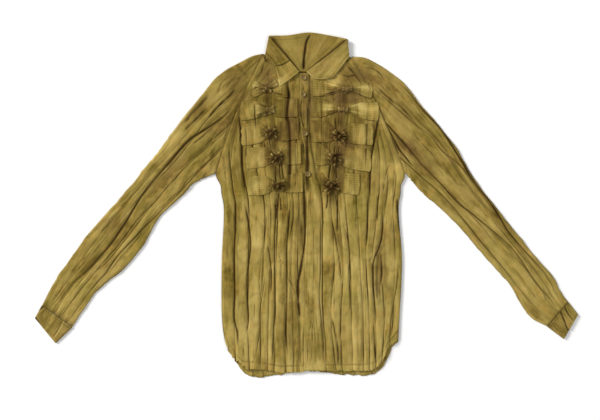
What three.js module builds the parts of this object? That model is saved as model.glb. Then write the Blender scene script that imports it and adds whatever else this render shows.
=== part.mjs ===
// A crinkle-pleated shirt blouse with raglan sleeves, laid flat on its back.
//
// The garment lies in the XY plane, collar towards +Y, and its underside is
// flat on Z = 0. Left and right are as seen from above. Millimetres.
//
// Every cloth piece is a thin closed wall. A panel is a grid of columns, which
// run along the pleats, and rows, which run across them. Sleeves and cuffs are
// flattened tubes made of ring sections.

import * as THREE from "three";

// ---- Driving dimensions ---------------------------------------------------

const CLOTH = 1.4; // one layer of crinkled cloth
const SEAM_GAP = 0.4; // between pieces that are sewn edge to edge
const LAY_GAP = 0.8; // under a piece that lies on pleats
const BACK_RIDGE = 2.2; // highest face of the back panel
const FRONT_FLOOR = BACK_RIDGE + SEAM_GAP; // lowest face of the fronts
const CROWN_EXTRA = 0.8; // how much a pleat's crown is thicker than its valley
const PLACKET_FLOOR = 5.4; // lowest face of the front strip
const PLACKET_WALL = 1.8;
const BUTTON_RADIUS = 5.7;
const BUTTON_THICKNESS = 2.6;
const KNOT_RADIUS = 15;
const KNOT_HEIGHT = 7;
const BAND_WALL = 1.3;
const ROWS_BETWEEN_LEVELS = 2;

// ---- Colours --------------------------------------------------------------

const CLOTH_COLOUR = "#8f7f3b";
const BAND_COLOUR = "#95853f";
const KNOT_COLOUR = "#6d5a2f";
const INSIDE_COLOUR = "#86783b";
const BUTTON_COLOUR = "#8a7436";

const cloth = (colour) =>
  new THREE.MeshStandardMaterial({ color: colour, roughness: 0.7, metalness: 0 });

// ---- Where the creases run --------------------------------------------------

// Heights on the garment at which the creases' places are given. The hem and
// the neckline are curves, so their own heights are read from HEM and NECKLINE.
const LEVELS = [
  { name: "hem", y: -352 },
  { name: "low", y: -234 },
  { name: "waist", y: -118 },
  { name: "rib", y: -2 },
  { name: "under", y: 71 },
  { name: "chest", y: 161 },
  { name: "yoke", y: 247 },
  { name: "top", y: 312 },
];
const UNDERARM_LEVEL = 4;
const RAGLAN_BULGE = 7.5; // how far the raglan seam bows out from a straight line
const TOP_LEVEL = LEVELS.length - 1;

// One row for each crease: where it stands at each level, and rise, the height
// of the pleat between it and the next crease.
const LEFT_CREASES = [
  { hem: -175, low: -182, waist: -182, rib: -178, under: -195, chest: -164, yoke: -132, top: -94, rise: 1.6 },
  { hem: -152, low: -154, waist: -154, rib: -153, under: -162, chest: -153, yoke: -126, top: -88, rise: 2.6 },
  { hem: -122, low: -126, waist: -124, rib: -124, under: -135, chest: -140, yoke: -119, top: -82, rise: 3.0 },
  { hem: -98, low: -99, waist: -92, rib: -90, under: -106, chest: -119, yoke: -111, top: -74, rise: 1.4 },
  { hem: -84, low: -82, waist: -78, rib: -77, under: -87, chest: -101, yoke: -101, top: -66, rise: 2.0 },
  { hem: -70, low: -67, waist: -65, rib: -62, under: -67, chest: -83, yoke: -89, top: -57, rise: 2.8 },
  { hem: -44, low: -45, waist: -43, rib: -40, under: -51, chest: -66, yoke: -74, top: -46, rise: 2.4 },
  { hem: -27, low: -29, waist: -31, rib: -28, under: -36, chest: -38, yoke: -41, top: -35, rise: 2.2 },
  { hem: -14, low: -16, waist: -19, rib: -16, under: -20, chest: -23, yoke: -27, top: -24, rise: 0.6 },
  { hem: -2, low: -1, waist: 0, rib: 4, under: 2, chest: -7, yoke: -11, top: -12, rise: 0 },
];
const RIGHT_CREASES = [
  { hem: -2, low: -1, waist: 0, rib: 4, under: 2, chest: -7, yoke: -11, top: -12, rise: 0.4 },
  { hem: 43, low: 35, waist: 34, rib: 34, under: 30, chest: 31, yoke: 35, top: 12, rise: 2.8 },
  { hem: 66, low: 53, waist: 60, rib: 53, under: 49, chest: 53, yoke: 57, top: 27, rise: 1.8 },
  { hem: 77, low: 74, waist: 79, rib: 69, under: 64, chest: 68, yoke: 72, top: 40, rise: 2.4 },
  { hem: 100, low: 97, waist: 93, rib: 84, under: 83, chest: 87, yoke: 87, top: 53, rise: 2.8 },
  { hem: 123, low: 121, waist: 115, rib: 109, under: 102, chest: 104, yoke: 101, top: 63, rise: 1.6 },
  { hem: 136, low: 134, waist: 128, rib: 134, under: 137, chest: 137, yoke: 112, top: 72, rise: 2.2 },
  { hem: 149, low: 148, waist: 142, rib: 153, under: 158, chest: 149, yoke: 120, top: 80, rise: 2.6 },
  { hem: 161, low: 167, waist: 160, rib: 170, under: 175, chest: 158, yoke: 127, top: 87, rise: 1.8 },
  { hem: 178, low: 186, waist: 190, rib: 186, under: 192, chest: 166, yoke: 132, top: 92, rise: 1.4 },
  { hem: 197, low: 200, waist: 205, rib: 198, under: 212, chest: 174, yoke: 137, top: 98, rise: 0 },
];

// Shirt-tail hems and the front neckline, from side to side.
const FRONT_HEM = [
  [-175, -290],
  [-164, -314],
  [-152, -333],
  [-137, -348],
  [-96, -352],
  [-51, -359],
  [5, -356],
  [68, -355],
  [126, -355],
  [158, -350],
  [167, -329],
  [182, -316],
  [197, -297],
];
const BACK_HEM = [
  [-175, -292],
  [-152, -335],
  [-141, -350],
  [-121, -366],
  [-100, -371],
  [-51, -363],
  [5, -353],
  [61, -362],
  [128, -366],
  [158, -357],
  [171, -338],
  [197, -301],
];
const NECKLINE = [
  [-94, 312],
  [-60, 297],
  [-12, 284],
  [27, 287],
  [60, 300],
  [98, 314],
];
const BACK_RELIEF = 0.7; // height of the back's highest pleats
const BACK_NECK_DROP = 4; // the back's neck edge dips this far at the middle

// The back's creases, as fractions of its width, with the height of the pleat
// that follows each.
const BACK_CREASES = [
  { across: 0.0, rise: 0.5 },
  { across: 0.07, rise: 0.7 },
  { across: 0.16, rise: 0.5 },
  { across: 0.22, rise: 0.7 },
  { across: 0.33, rise: 0.6 },
  { across: 0.4, rise: 0.7 },
  { across: 0.49, rise: 0.5 },
  { across: 0.57, rise: 0.7 },
  { across: 0.68, rise: 0.6 },
  { across: 0.75, rise: 0.7 },
  { across: 0.85, rise: 0.6 },
  { across: 0.93, rise: 0.5 },
  { across: 1.0, rise: 0 },
];

// ---- Sleeves ----------------------------------------------------------------

// One row for each ring of a sleeve after the raglan seam: its two edges, and
// the creases a to d as fractions of the way from the upper edge to the lower.
const RIGHT_RINGS = [
  { upX: 145, upY: 307, loX: 216, loY: 66, a: 0.07, b: 0.32, c: 0.62, d: 0.85 },
  { upX: 197, upY: 273, loX: 221, loY: 60, a: 0.09, b: 0.35, c: 0.66, d: 0.87 },
  { upX: 244, upY: 219, loX: 228, loY: 51, a: 0.08, b: 0.29, c: 0.67, d: 0.84 },
  { upX: 285, upY: 170, loX: 237, loY: 38, a: 0.09, b: 0.24, c: 0.65, d: 0.81 },
  { upX: 325, upY: 118, loX: 257, loY: 19, a: 0.1, b: 0.22, c: 0.64, d: 0.8 },
  { upX: 360, upY: 58, loX: 287, loY: -5, a: 0.08, b: 0.2, c: 0.6, d: 0.79 },
  { upX: 403, upY: -4, loX: 339, loY: -58, a: 0.08, b: 0.2, c: 0.51, d: 0.81 },
  { upX: 446, upY: -54, loX: 382, loY: -110, a: 0.12, b: 0.22, c: 0.41, d: 0.82 },
  { upX: 493, upY: -112, loX: 431, loY: -164, a: 0.12, b: 0.24, c: 0.4, d: 0.84 },
  { upX: 532, upY: -157, loX: 461, loY: -215, a: 0.13, b: 0.25, c: 0.4, d: 0.78 },
  { upX: 549, upY: -189, loX: 485, loY: -243, a: 0.13, b: 0.25, c: 0.4, d: 0.75 },
  { upX: 562, upY: -208, loX: 517, loY: -260, a: 0.16, b: 0.28, c: 0.45, d: 0.75 },
];
const LEFT_RINGS = [
  { upX: -134, upY: 307, loX: -199, loY: 67, a: 0.21, b: 0.4, c: 0.6, d: 0.78 },
  { upX: -186, upY: 280, loX: -206, loY: 64, a: 0.27, b: 0.44, c: 0.64, d: 0.81 },
  { upX: -238, upY: 221, loX: -216, loY: 60, a: 0.26, b: 0.42, c: 0.66, d: 0.84 },
  { upX: -281, upY: 166, loX: -227, loY: 55, a: 0.24, b: 0.38, c: 0.65, d: 0.85 },
  { upX: -315, upY: 118, loX: -244, loY: 45, a: 0.22, b: 0.36, c: 0.65, d: 0.87 },
  { upX: -347, upY: 80, loX: -272, loY: 22, a: 0.2, b: 0.35, c: 0.67, d: 0.89 },
  { upX: -388, upY: 30, loX: -321, loY: -25, a: 0.2, b: 0.41, c: 0.69, d: 0.88 },
  { upX: -431, upY: -19, loX: -355, loY: -82, a: 0.2, b: 0.46, c: 0.65, d: 0.83 },
  { upX: -476, upY: -71, loX: -399, loY: -133, a: 0.22, b: 0.51, c: 0.66, d: 0.82 },
  { upX: -513, upY: -123, loX: -447, loY: -176, a: 0.25, b: 0.49, c: 0.69, d: 0.88 },
  { upX: -543, upY: -166, loX: -476, loY: -219, a: 0.25, b: 0.43, c: 0.65, d: 0.87 },
  { upX: -568, upY: -215, loX: -503, loY: -261, a: 0.24, b: 0.4, c: 0.6, d: 0.83 },
];
const SLEEVE_SEAM_CREASES = { a: 0.06, b: 0.28, c: 0.58, d: 0.82 };
const SLEEVE_RISES = [1.8, 2.6, 3.0, 2.6, 1.8]; // heights of the five pleats, edge to edge
const SEWN_STRENGTH = 0.5; // how much of a pleat is left where it is sewn down
const SLEEVE_WALL = 1.3;
const SLEEVE_INSIDE = 0.6; // least space between a sleeve's two layers
const FOLD_INSET = 2.4; // from a sleeve's folded edge to its flat layers

// Cuff ends: the two corners of each cuff's opening.
const RIGHT_CUFF_END = { upX: 583, upY: -235, loX: 553, loY: -287 };
const LEFT_CUFF_END = { upX: -583, upY: -243, loX: -539, loY: -296 };
const CUFF_WALL = 1.9;
const CUFF_FLARE = 1.02; // a cuff is this much wider than the sleeve's end
const CUFF_RINGS = [0.02, 0.14, 0.5, 1]; // from the sleeve's end to the opening

// ---- Bands, bows and buttons --------------------------------------------------

// One row for each band: where it starts beside the front strip, where it ends,
// where it is tied, and its upper and lower edges at mid-length. Drop is how
// much lower its outer end lies, and pinch how far the knot narrows it.
const LEFT_BANDS = [
  { inner: -40, outer: -117, knotX: -87, knotY: 251, top: 268, bottom: 231, drop: 2, pinch: 0.6 },
  { inner: -19, outer: -143, knotX: -85, knotY: 205, top: 226, bottom: 186, drop: 8, pinch: 0.65 },
  { inner: -17, outer: -140, knotX: -77, knotY: 153, top: 181, bottom: 134, drop: 14, pinch: 0.7 },
  { inner: -12, outer: -131, knotX: -66, knotY: 101, top: 129, bottom: 83, drop: 12, pinch: 0.7 },
  { inner: -8, outer: -127, knotX: -62, knotY: 40, top: 66, bottom: 24, drop: 8, pinch: 0.7 },
];
const RIGHT_BANDS = [
  { inner: 13, outer: 142, knotX: 87, knotY: 249, top: 268, bottom: 231, drop: 6, pinch: 0.6 },
  { inner: 9, outer: 156, knotX: 78, knotY: 206, top: 226, bottom: 185, drop: 8, pinch: 0.6 },
  { inner: 10, outer: 143, knotX: 70, knotY: 147, top: 178, bottom: 132, drop: 8, pinch: 0.7 },
  { inner: 20, outer: 139, knotX: 61, knotY: 99, top: 127, bottom: 79, drop: 14, pinch: 0.7 },
  { inner: 31, outer: 115, knotX: 53, knotY: 41, top: 71, bottom: 25, drop: 8, pinch: 0.7 },
];
const PINCH_REACH = 16; // how far along the band the pinch is felt
const BAND_ROWS = 3;
const EDGE_MARGIN = 0.2; // least part of a column left at a band's end
const BAND_PUFF = 1.6; // how much a band swells beside its knot

// The front strip: its two edges at each height.
const PLACKET = [
  { y: 284, left: -15, right: 5 },
  { y: 236, left: -14, right: 5 },
  { y: 187, left: -13, right: 4 },
  { y: 150, left: -10, right: 6 },
  { y: 118, left: -5, right: 10 },
  { y: 67, left: -2, right: 20 },
  { y: -2, left: 1, right: 33 },
  { y: -118, left: -3, right: 33 },
  { y: -234, left: -4, right: 34 },
  { y: -290, left: -5, right: 40 },
  { y: -355, left: -5, right: 42 },
];
const BUTTONS = [
  { x: -6, y: 274 },
  { x: -7, y: 238 },
  { x: -3, y: 154 },
  { x: 3, y: 67 },
];

// ---- Collar -------------------------------------------------------------------

const ROLL_LEFT = [[-14, 287], [-48, 325], [-81, 363]]; // fold line, V to corner
const ROLL_RIGHT = [[-2, 287], [46, 322], [88, 356]];
const LEFT_LEAD = [[-14, 287], [-34, 271], [-58, 254]]; // front edge, V to point
const RIGHT_LEAD = [[-2, 287], [21, 270], [57, 274]];
const LEFT_OUTER = [[-58, 254], [-68, 296], [-89, 323]]; // edge, point to neck
const RIGHT_OUTER = [[57, 274], [79, 302], [92, 319]];
const TOP_EDGE = [[-81, 363], [-46, 362], [6, 371], [51, 362], [88, 356]];
const COLLAR_WALL = 1.6;
const COLLAR_REST = 6.2; // least height under the collar's outer edge
const COLLAR_REACH = 15; // a point of the collar clears what lies this near
const COLLAR_ROLL = 9.5; // under its fold line
const CENTRE_BACK_CREASE = 1.0;

// ---- Small helpers --------------------------------------------------------------

const mix = (a, b, t) => a + (b - a) * t;

// The value of a smooth curve through equally spaced values, at place t.
function along(values, t) {
  const last = values.length - 1;
  const k = Math.min(Math.floor(t), last - 1);
  const f = t - k;
  const p1 = values[k];
  const p2 = values[k + 1];
  const p0 = k > 0 ? values[k - 1] : 2 * p1 - p2;
  const p3 = k + 2 <= last ? values[k + 2] : 2 * p2 - p1;
  const bend = 2 * p0 - 5 * p1 + 4 * p2 - p3 + (3 * (p1 - p2) + p3 - p0) * f;
  return p1 + 0.5 * f * (p2 - p0 + f * bend);
}

// The point at fraction t of a smooth curve through a few points.
function onCurve(points, t) {
  const place = t * (points.length - 1);
  return [0, 1].map((k) => along(points.map((p) => p[k]), place));
}

// The height of a curve, given from left to right, at x.
function heightAt(points, x) {
  let k = 0;
  while (k < points.length - 2 && x > points[k + 1][0]) k += 1;
  const [a, b] = [points[k], points[k + 1]];
  const t = THREE.MathUtils.clamp((x - a[0]) / (b[0] - a[0]), 0, 1);
  return mix(a[1], b[1], t);
}

// A closed mesh from points and triangles, turned to face outwards.
function closedMesh(name, points, triangles, colour) {
  let volume = 0;
  const corner = new THREE.Vector3();
  for (const [a, b, c] of triangles) {
    corner.copy(points[b]).cross(points[c]);
    volume += points[a].dot(corner);
  }
  const index = triangles.flatMap(([a, b, c]) => (volume < 0 ? [a, c, b] : [a, b, c]));
  const geometry = new THREE.BufferGeometry().setFromPoints(points);
  geometry.setIndex(index);
  geometry.computeVertexNormals();
  const mesh = new THREE.Mesh(geometry, cloth(colour));
  mesh.name = name;
  return mesh;
}

// A wall over a grid: at(i, j) gives { x, y, low, high } for column i, row j.
function wall(name, columns, rows, at, colour) {
  const points = [];
  const triangles = [];
  const id = (side, i, j) => side * columns * rows + j * columns + i;
  for (const side of ["low", "high"])
    for (let j = 0; j < rows; j += 1)
      for (let i = 0; i < columns; i += 1) {
        const p = at(i, j);
        points.push(new THREE.Vector3(p.x, p.y, p[side]));
      }
  const quad = (a, b, c, d) => triangles.push([a, b, c], [a, c, d]);
  for (let j = 0; j + 1 < rows; j += 1)
    for (let i = 0; i + 1 < columns; i += 1) {
      quad(id(1, i, j), id(1, i + 1, j), id(1, i + 1, j + 1), id(1, i, j + 1));
      quad(id(0, i, j + 1), id(0, i + 1, j + 1), id(0, i + 1, j), id(0, i, j));
    }
  for (let i = 0; i + 1 < columns; i += 1) {
    quad(id(0, i, 0), id(0, i + 1, 0), id(1, i + 1, 0), id(1, i, 0));
    quad(id(1, i, rows - 1), id(1, i + 1, rows - 1), id(0, i + 1, rows - 1), id(0, i, rows - 1));
  }
  for (let j = 0; j + 1 < rows; j += 1) {
    quad(id(1, 0, j), id(1, 0, j + 1), id(0, 0, j + 1), id(0, 0, j));
    quad(id(0, columns - 1, j), id(0, columns - 1, j + 1), id(1, columns - 1, j + 1), id(1, columns - 1, j));
  }
  return closedMesh(name, points, triangles, colour);
}

// A tube from rings of paired outer and inner points, open at both ends.
function tube(name, rings, colour) {
  const count = rings[0].outer.length;
  const points = rings.flatMap((ring) => [...ring.outer, ...ring.inner]);
  const triangles = [];
  const id = (r, side, k) => r * 2 * count + side * count + (k % count);
  const quad = (a, b, c, d) => triangles.push([a, b, c], [a, c, d]);
  for (let r = 0; r + 1 < rings.length; r += 1)
    for (let k = 0; k < count; k += 1) {
      quad(id(r, 0, k), id(r, 0, k + 1), id(r + 1, 0, k + 1), id(r + 1, 0, k));
      quad(id(r + 1, 1, k), id(r + 1, 1, k + 1), id(r, 1, k + 1), id(r, 1, k));
    }
  const end = rings.length - 1;
  for (let k = 0; k < count; k += 1) {
    quad(id(0, 1, k), id(0, 1, k + 1), id(0, 0, k + 1), id(0, 0, k));
    quad(id(end, 0, k), id(end, 0, k + 1), id(end, 1, k + 1), id(end, 1, k));
  }
  return closedMesh(name, points, triangles, colour);
}

// ---- The raglan seams -------------------------------------------------------------

// The outermost crease of each front is the garment's side.
const SIDES = [
  { edge: LEFT_CREASES[0], outward: -1 },
  { edge: RIGHT_CREASES[RIGHT_CREASES.length - 1], outward: 1 },
];

// The seam at fraction f of the way from the neck to the underarm.
function raglan({ edge, outward }, f) {
  const neckY = heightAt(NECKLINE, edge.top);
  const bow = outward * RAGLAN_BULGE * 4 * f * (1 - f);
  return { x: mix(edge.top, edge.under, f) + bow, y: mix(neckY, LEVELS[UNDERARM_LEVEL].y, f) };
}

// ---- The pleated fronts -----------------------------------------------------------

// Columns of one pleat: how far across it each stands, and how high.
const PLEAT_SECTION = [
  { across: 0, lift: 0 },
  { across: 0.24, lift: 0.9 },
  { across: 0.68, lift: 1 },
];
const STEEPEST = 0.55; // rise of a pleat for each unit of run on its steep side

// The place of a crease at t, counted in levels from the hem. The side of a
// panel follows the raglan seam above the underarm.
function creaseAt(crease, t, hem) {
  const seam = t > UNDERARM_LEVEL && SIDES.find((side) => side.edge === crease);
  if (seam) return raglan(seam, (TOP_LEVEL - t) / (TOP_LEVEL - UNDERARM_LEVEL));
  const xs = LEVELS.map((level) => crease[level.name]);
  const ys = LEVELS.map((level) => level.y);
  ys[0] = heightAt(hem, xs[0]);
  ys[TOP_LEVEL] = heightAt(NECKLINE, xs[TOP_LEVEL]);
  return { x: along(xs, t), y: along(ys, t) };
}

// The columns of a front: each is a crease or a line between two of them.
function frontColumns(creases) {
  const columns = [];
  for (let k = 0; k + 1 < creases.length; k += 1)
    for (const { across, lift } of PLEAT_SECTION)
      columns.push({ from: creases[k], to: creases[k + 1], across, rise: creases[k].rise * lift });
  const last = creases.length - 1;
  columns.push({ from: creases[last - 1], to: creases[last], across: 1, rise: 0 });
  return columns;
}

// A point of a front, with its wall, at a column and a place along it. An edge
// column that meets another piece is set in by half a seam gap.
function frontPoint(column, t, inset) {
  const a = creaseAt(column.from, t, FRONT_HEM);
  const b = creaseAt(column.to, t, FRONT_HEM);
  const room = (b.x - a.x) * PLEAT_SECTION[1].across * STEEPEST;
  const rise = Math.min(column.rise, Math.max(room, 0.2));
  const low = FRONT_FLOOR + rise;
  return {
    x: mix(a.x, b.x, column.across) + inset,
    y: mix(a.y, b.y, column.across),
    low,
    high: low + CLOTH + CROWN_EXTRA * Math.min(rise, 1),
  };
}

const PANEL_ROWS = TOP_LEVEL * ROWS_BETWEEN_LEVELS + 1;

// All points of a front, as rows of columns.
function frontGrid(creases) {
  const columns = frontColumns(creases);
  return Array.from({ length: PANEL_ROWS }, (_, j) => {
    const t = j / ROWS_BETWEEN_LEVELS;
    return columns.map((column, i) => {
      const edge = i === 0 ? 1 : i === columns.length - 1 ? -1 : 0;
      return frontPoint(column, t, (edge * SEAM_GAP) / 2);
    });
  });
}

const leftGrid = frontGrid(LEFT_CREASES);
const rightGrid = frontGrid(RIGHT_CREASES);

const gridWall = (name, grid) =>
  wall(name, grid[0].length, grid.length, (i, j) => grid[j][i], CLOTH_COLOUR);

// ---- The back ------------------------------------------------------------------------

function backPanel() {
  const columns = [];
  BACK_CREASES.forEach((crease, k) => {
    columns.push({ across: crease.across, lift: 0 });
    const next = BACK_CREASES[k + 1];
    if (next) columns.push({ across: mix(crease.across, next.across, 0.5), lift: crease.rise });
  });
  const at = (i, j) => {
    const { across, lift } = columns[i];
    const t = j / ROWS_BETWEEN_LEVELS;
    const [a, b] = SIDES.map(({ edge }) => creaseAt(edge, t, BACK_HEM));
    const x = mix(a.x + SEAM_GAP / 2, b.x - SEAM_GAP / 2, across);
    const hemShare = Math.max(0, 1 - t);
    const neckShare = Math.max(0, t - TOP_LEVEL + 1);
    const hemY = heightAt(BACK_HEM, mix(a.x, b.x, across));
    const neckDip = BACK_NECK_DROP * Math.sin(Math.PI * across) * neckShare;
    const y = mix(mix(a.y, b.y, across) - neckDip, hemY, hemShare ** 2);
    return { x, y, low: 0, high: BACK_RIDGE - BACK_RELIEF + lift };
  };
  return wall("back", columns.length, PANEL_ROWS, at, CLOTH_COLOUR);
}

// ---- Sleeves and cuffs ------------------------------------------------------------------

// Upper layer of a ring: fractions across, from crease to crease, and heights.
function upperLayer(creases, rises) {
  const stops = [0, ...creases, 1];
  const layer = [];
  for (let k = 0; k + 1 < stops.length; k += 1) {
    layer.push({ across: stops[k], lift: 0 });
    layer.push({ across: mix(stops[k], stops[k + 1], 0.3), lift: rises[k] * 0.9 });
    layer.push({ across: mix(stops[k], stops[k + 1], 0.7), lift: rises[k] });
  }
  layer.push({ across: 1, lift: 0 });
  return layer;
}

const UNDER_LAYER = [0.97, 0.83, 0.67, 0.5, 0.33, 0.17, 0.03];

// One ring of a flattened tube. place(f) gives the point at fraction f across;
// the section lies flat on Z = 0 and its two folded edges are rounded.
function flatRing(place, layer, wallThickness, inside, strength) {
  const start = place(0);
  const end = place(1);
  const width = Math.hypot(end[0] - start[0], end[1] - start[1]);
  const inset = FOLD_INSET / width;
  const middle = wallThickness + inside / 2;
  const floorTop = wallThickness;
  const outer = [];
  const inner = [];
  const put = (list, f, z) => {
    const [x, y] = place(f);
    list.push(new THREE.Vector3(x, y, z));
  };
  layer.forEach(({ across, lift }, k) => {
    const isEdge = k === 0 || k === layer.length - 1;
    const level = floorTop + inside + lift * strength;
    put(outer, across, isEdge ? middle : level + wallThickness);
    put(inner, mix(inset, 1 - inset, across), isEdge ? middle : level);
  });
  for (const across of UNDER_LAYER) {
    put(outer, across, 0);
    put(inner, mix(inset, 1 - inset, across), floorTop);
  }
  return { outer, inner };
}

const ringLine = (row) => (f) => [mix(row.upX, row.loX, f), mix(row.upY, row.loY, f)];

function sleeve(name, side, rows) {
  const ring = (place, row, strength) => {
    const layer = upperLayer([row.a, row.b, row.c, row.d], SLEEVE_RISES);
    return flatRing(place, layer, SLEEVE_WALL, SLEEVE_INSIDE, strength);
  };
  const seamLine = (f) => {
    const { x, y } = raglan(side, f);
    return [x + side.outward * SEAM_GAP, y];
  };
  const rings = [ring(seamLine, SLEEVE_SEAM_CREASES, SEWN_STRENGTH)];
  rows.forEach((row, k) => {
    const isEnd = k === rows.length - 1;
    rings.push(ring(ringLine(row), row, isEnd ? SEWN_STRENGTH : 1));
  });
  return tube(name, rings, CLOTH_COLOUR);
}

function cuff(name, sleeveEnd, end) {
  const layer = upperLayer([0.35, 0.7], [0.5, 0.3, 0.5]);
  const rings = CUFF_RINGS.map((f) => {
    const row = {};
    for (const key of ["upX", "upY", "loX", "loY"]) row[key] = mix(sleeveEnd[key], end[key], f);
    const line = ringLine(row);
    const place = (g) => line(mix(0.5, g, CUFF_FLARE));
    return flatRing(place, layer, CUFF_WALL, SLEEVE_INSIDE, 1);
  });
  return tube(name, rings, CLOTH_COLOUR);
}

// ---- Bands, knots, strip and buttons -------------------------------------------------------

// Where column i of a front's grid crosses the height y, with its top face.
function columnCrossing(grid, i, y) {
  let j = 0;
  while (j < grid.length - 2 && grid[j + 1][i].y < y) j += 1;
  const a = grid[j][i];
  const b = grid[j + 1][i];
  const t = THREE.MathUtils.clamp((y - a.y) / (b.y - a.y), 0, 1);
  return { x: mix(a.x, b.x, t), high: mix(a.high, b.high, t) };
}

// How wide the band still is at x, from 1 down to 1 - pinch at its knot.
const bandWidth = (band, x) =>
  1 - band.pinch * Math.exp(-(((x - band.knotX) / PINCH_REACH) ** 2));

// The place between columns, counted in columns, where a grid reaches x at height y.
function stationAt(grid, x, y) {
  const last = grid[0].length - 2;
  let i = 0;
  while (i < last && columnCrossing(grid, i + 1, y).x < x) i += 1;
  const [a, b] = [columnCrossing(grid, i, y), columnCrossing(grid, i + 1, y)];
  return i + THREE.MathUtils.clamp((x - a.x) / (b.x - a.x), EDGE_MARGIN, 1 - EDGE_MARGIN);
}

// A point on a grid's top face at a station, counted in columns, and a height.
function faceAt(grid, station, y) {
  const i = Math.min(Math.floor(station), grid[0].length - 2);
  const [a, b] = [columnCrossing(grid, i, y), columnCrossing(grid, i + 1, y)];
  return { x: mix(a.x, b.x, station - i), high: mix(a.high, b.high, station - i) };
}

// The height of a band's middle line at x.
function bandMiddle(band, x) {
  const share = (x - band.inner) / (band.outer - band.inner);
  return (band.top + band.bottom) / 2 + band.drop * (0.5 - share);
}

function bandWall(name, band, grid) {
  const ends = [band.inner, band.outer].map((x) => stationAt(grid, x, bandMiddle(band, x)));
  const first = Math.min(...ends);
  const last = Math.max(...ends);
  const stations = [first];
  for (let i = Math.ceil(first + EDGE_MARGIN); i < last - EDGE_MARGIN; i += 1) stations.push(i);
  stations.push(last);
  const at = (i, j) => {
    const v = j / BAND_ROWS - 0.5;
    const { x } = faceAt(grid, stations[i], band.knotY);
    const size = bandWidth(band, x);
    const y = mix(band.knotY, bandMiddle(band, x), size) + v * size * (band.top - band.bottom);
    const here = faceAt(grid, stations[i], y);
    const puff = BAND_PUFF * (1 - size) * (1 - Math.abs(v));
    const low = here.high + LAY_GAP;
    return { x: here.x, y, low, high: low + BAND_WALL + puff };
  };
  return wall(name, stations.length, BAND_ROWS + 1, at, BAND_COLOUR);
}

// A knot: a low lump whose edge runs out into two loops and three tied ends.
const KNOT_SIDES = 20;
const KNOT_RINGS = [
  { reach: 0.4, height: 0.8 },
  { reach: 0.72, height: 0.95 },
  { reach: 1, height: 0.35 },
];

// How far a knot reaches in direction a, as a share of its radius.
function knotReach(a, turn) {
  const loops = 0.16 * Math.cos(2 * (a - turn));
  const ends = 0.12 * Math.cos(5 * a + 2 * turn);
  return 0.76 + loops + ends;
}

function knot(name, band, floor, turn) {
  const points = [0, KNOT_HEIGHT].map((h) => new THREE.Vector3(band.knotX, band.knotY, floor + h));
  const triangles = [];
  const radius = (a, reach) => KNOT_RADIUS * reach * mix(0.8, knotReach(a, turn), reach);
  for (const { reach, height } of KNOT_RINGS)
    for (let k = 0; k < KNOT_SIDES; k += 1) {
      const a = (k / KNOT_SIDES) * 2 * Math.PI;
      const r = radius(a, reach);
      const z = floor + KNOT_HEIGHT * height;
      points.push(new THREE.Vector3(band.knotX + r * Math.cos(a), band.knotY + r * Math.sin(a), z));
    }
  for (let k = 0; k < KNOT_SIDES; k += 1) {
    const a = (k / KNOT_SIDES) * 2 * Math.PI;
    const r = radius(a, 1);
    points.push(new THREE.Vector3(band.knotX + r * Math.cos(a), band.knotY + r * Math.sin(a), floor));
  }
  const id = (ring, k) => 2 + ring * KNOT_SIDES + (k % KNOT_SIDES);
  for (let k = 0; k < KNOT_SIDES; k += 1) {
    triangles.push([1, id(0, k), id(0, k + 1)]);
    for (let ring = 0; ring < KNOT_RINGS.length; ring += 1) {
      triangles.push([id(ring, k), id(ring + 1, k), id(ring + 1, k + 1)]);
      triangles.push([id(ring, k), id(ring + 1, k + 1), id(ring, k + 1)]);
    }
    triangles.push([0, id(KNOT_RINGS.length, k + 1), id(KNOT_RINGS.length, k)]);
  }
  return closedMesh(name, points, triangles, KNOT_COLOUR);
}

// The highest top face of a mesh within reach of a point.
function highestNear(mesh, x, y, reach) {
  const position = mesh.geometry.getAttribute("position");
  let best = 0;
  for (let k = 0; k < position.count; k += 1) {
    const near = Math.hypot(position.getX(k) - x, position.getY(k) - y) < reach;
    if (near) best = Math.max(best, position.getZ(k));
  }
  return best;
}

const PLACKET_SECTION = [
  { across: 0, crown: 0 },
  { across: 0.12, crown: 0.5 },
  { across: 0.5, crown: 0.3 },
  { across: 0.88, crown: 0.5 },
  { across: 1, crown: 0 },
];

function placket() {
  const steps = (PLACKET.length - 1) * 2;
  const at = (i, j) => {
    const read = (key) => along(PLACKET.map((row) => row[key]), j / 2);
    const [y, left, right] = ["y", "left", "right"].map(read);
    const { across, crown } = PLACKET_SECTION[i];
    return { x: mix(left, right, across), y, low: PLACKET_FLOOR, high: PLACKET_FLOOR + PLACKET_WALL + crown };
  };
  return wall("placket", PLACKET_SECTION.length, steps + 1, at, BAND_COLOUR);
}

// A rimmed button, turned about its own axis.
function button(name, place) {
  const r = BUTTON_RADIUS;
  const t = BUTTON_THICKNESS;
  const profile = [
    [0, 0],
    [r * 0.8, 0],
    [r, t * 0.4],
    [r * 0.97, t * 0.85],
    [r * 0.82, t],
    [r * 0.68, t * 0.7],
    [0, t * 0.62],
  ].map(([radius, height]) => new THREE.Vector2(radius, height));
  const geometry = new THREE.LatheGeometry(profile, 14);
  const material = new THREE.MeshStandardMaterial({ color: BUTTON_COLOUR, roughness: 0.35, metalness: 0.1 });
  const mesh = new THREE.Mesh(geometry, material);
  mesh.name = name;
  mesh.rotation.x = Math.PI / 2;
  mesh.position.set(place.x, place.y, PLACKET_FLOOR + PLACKET_WALL + 0.5 + 0.3);
  return mesh;
}

// ---- Collar -----------------------------------------------------------------------------------

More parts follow.
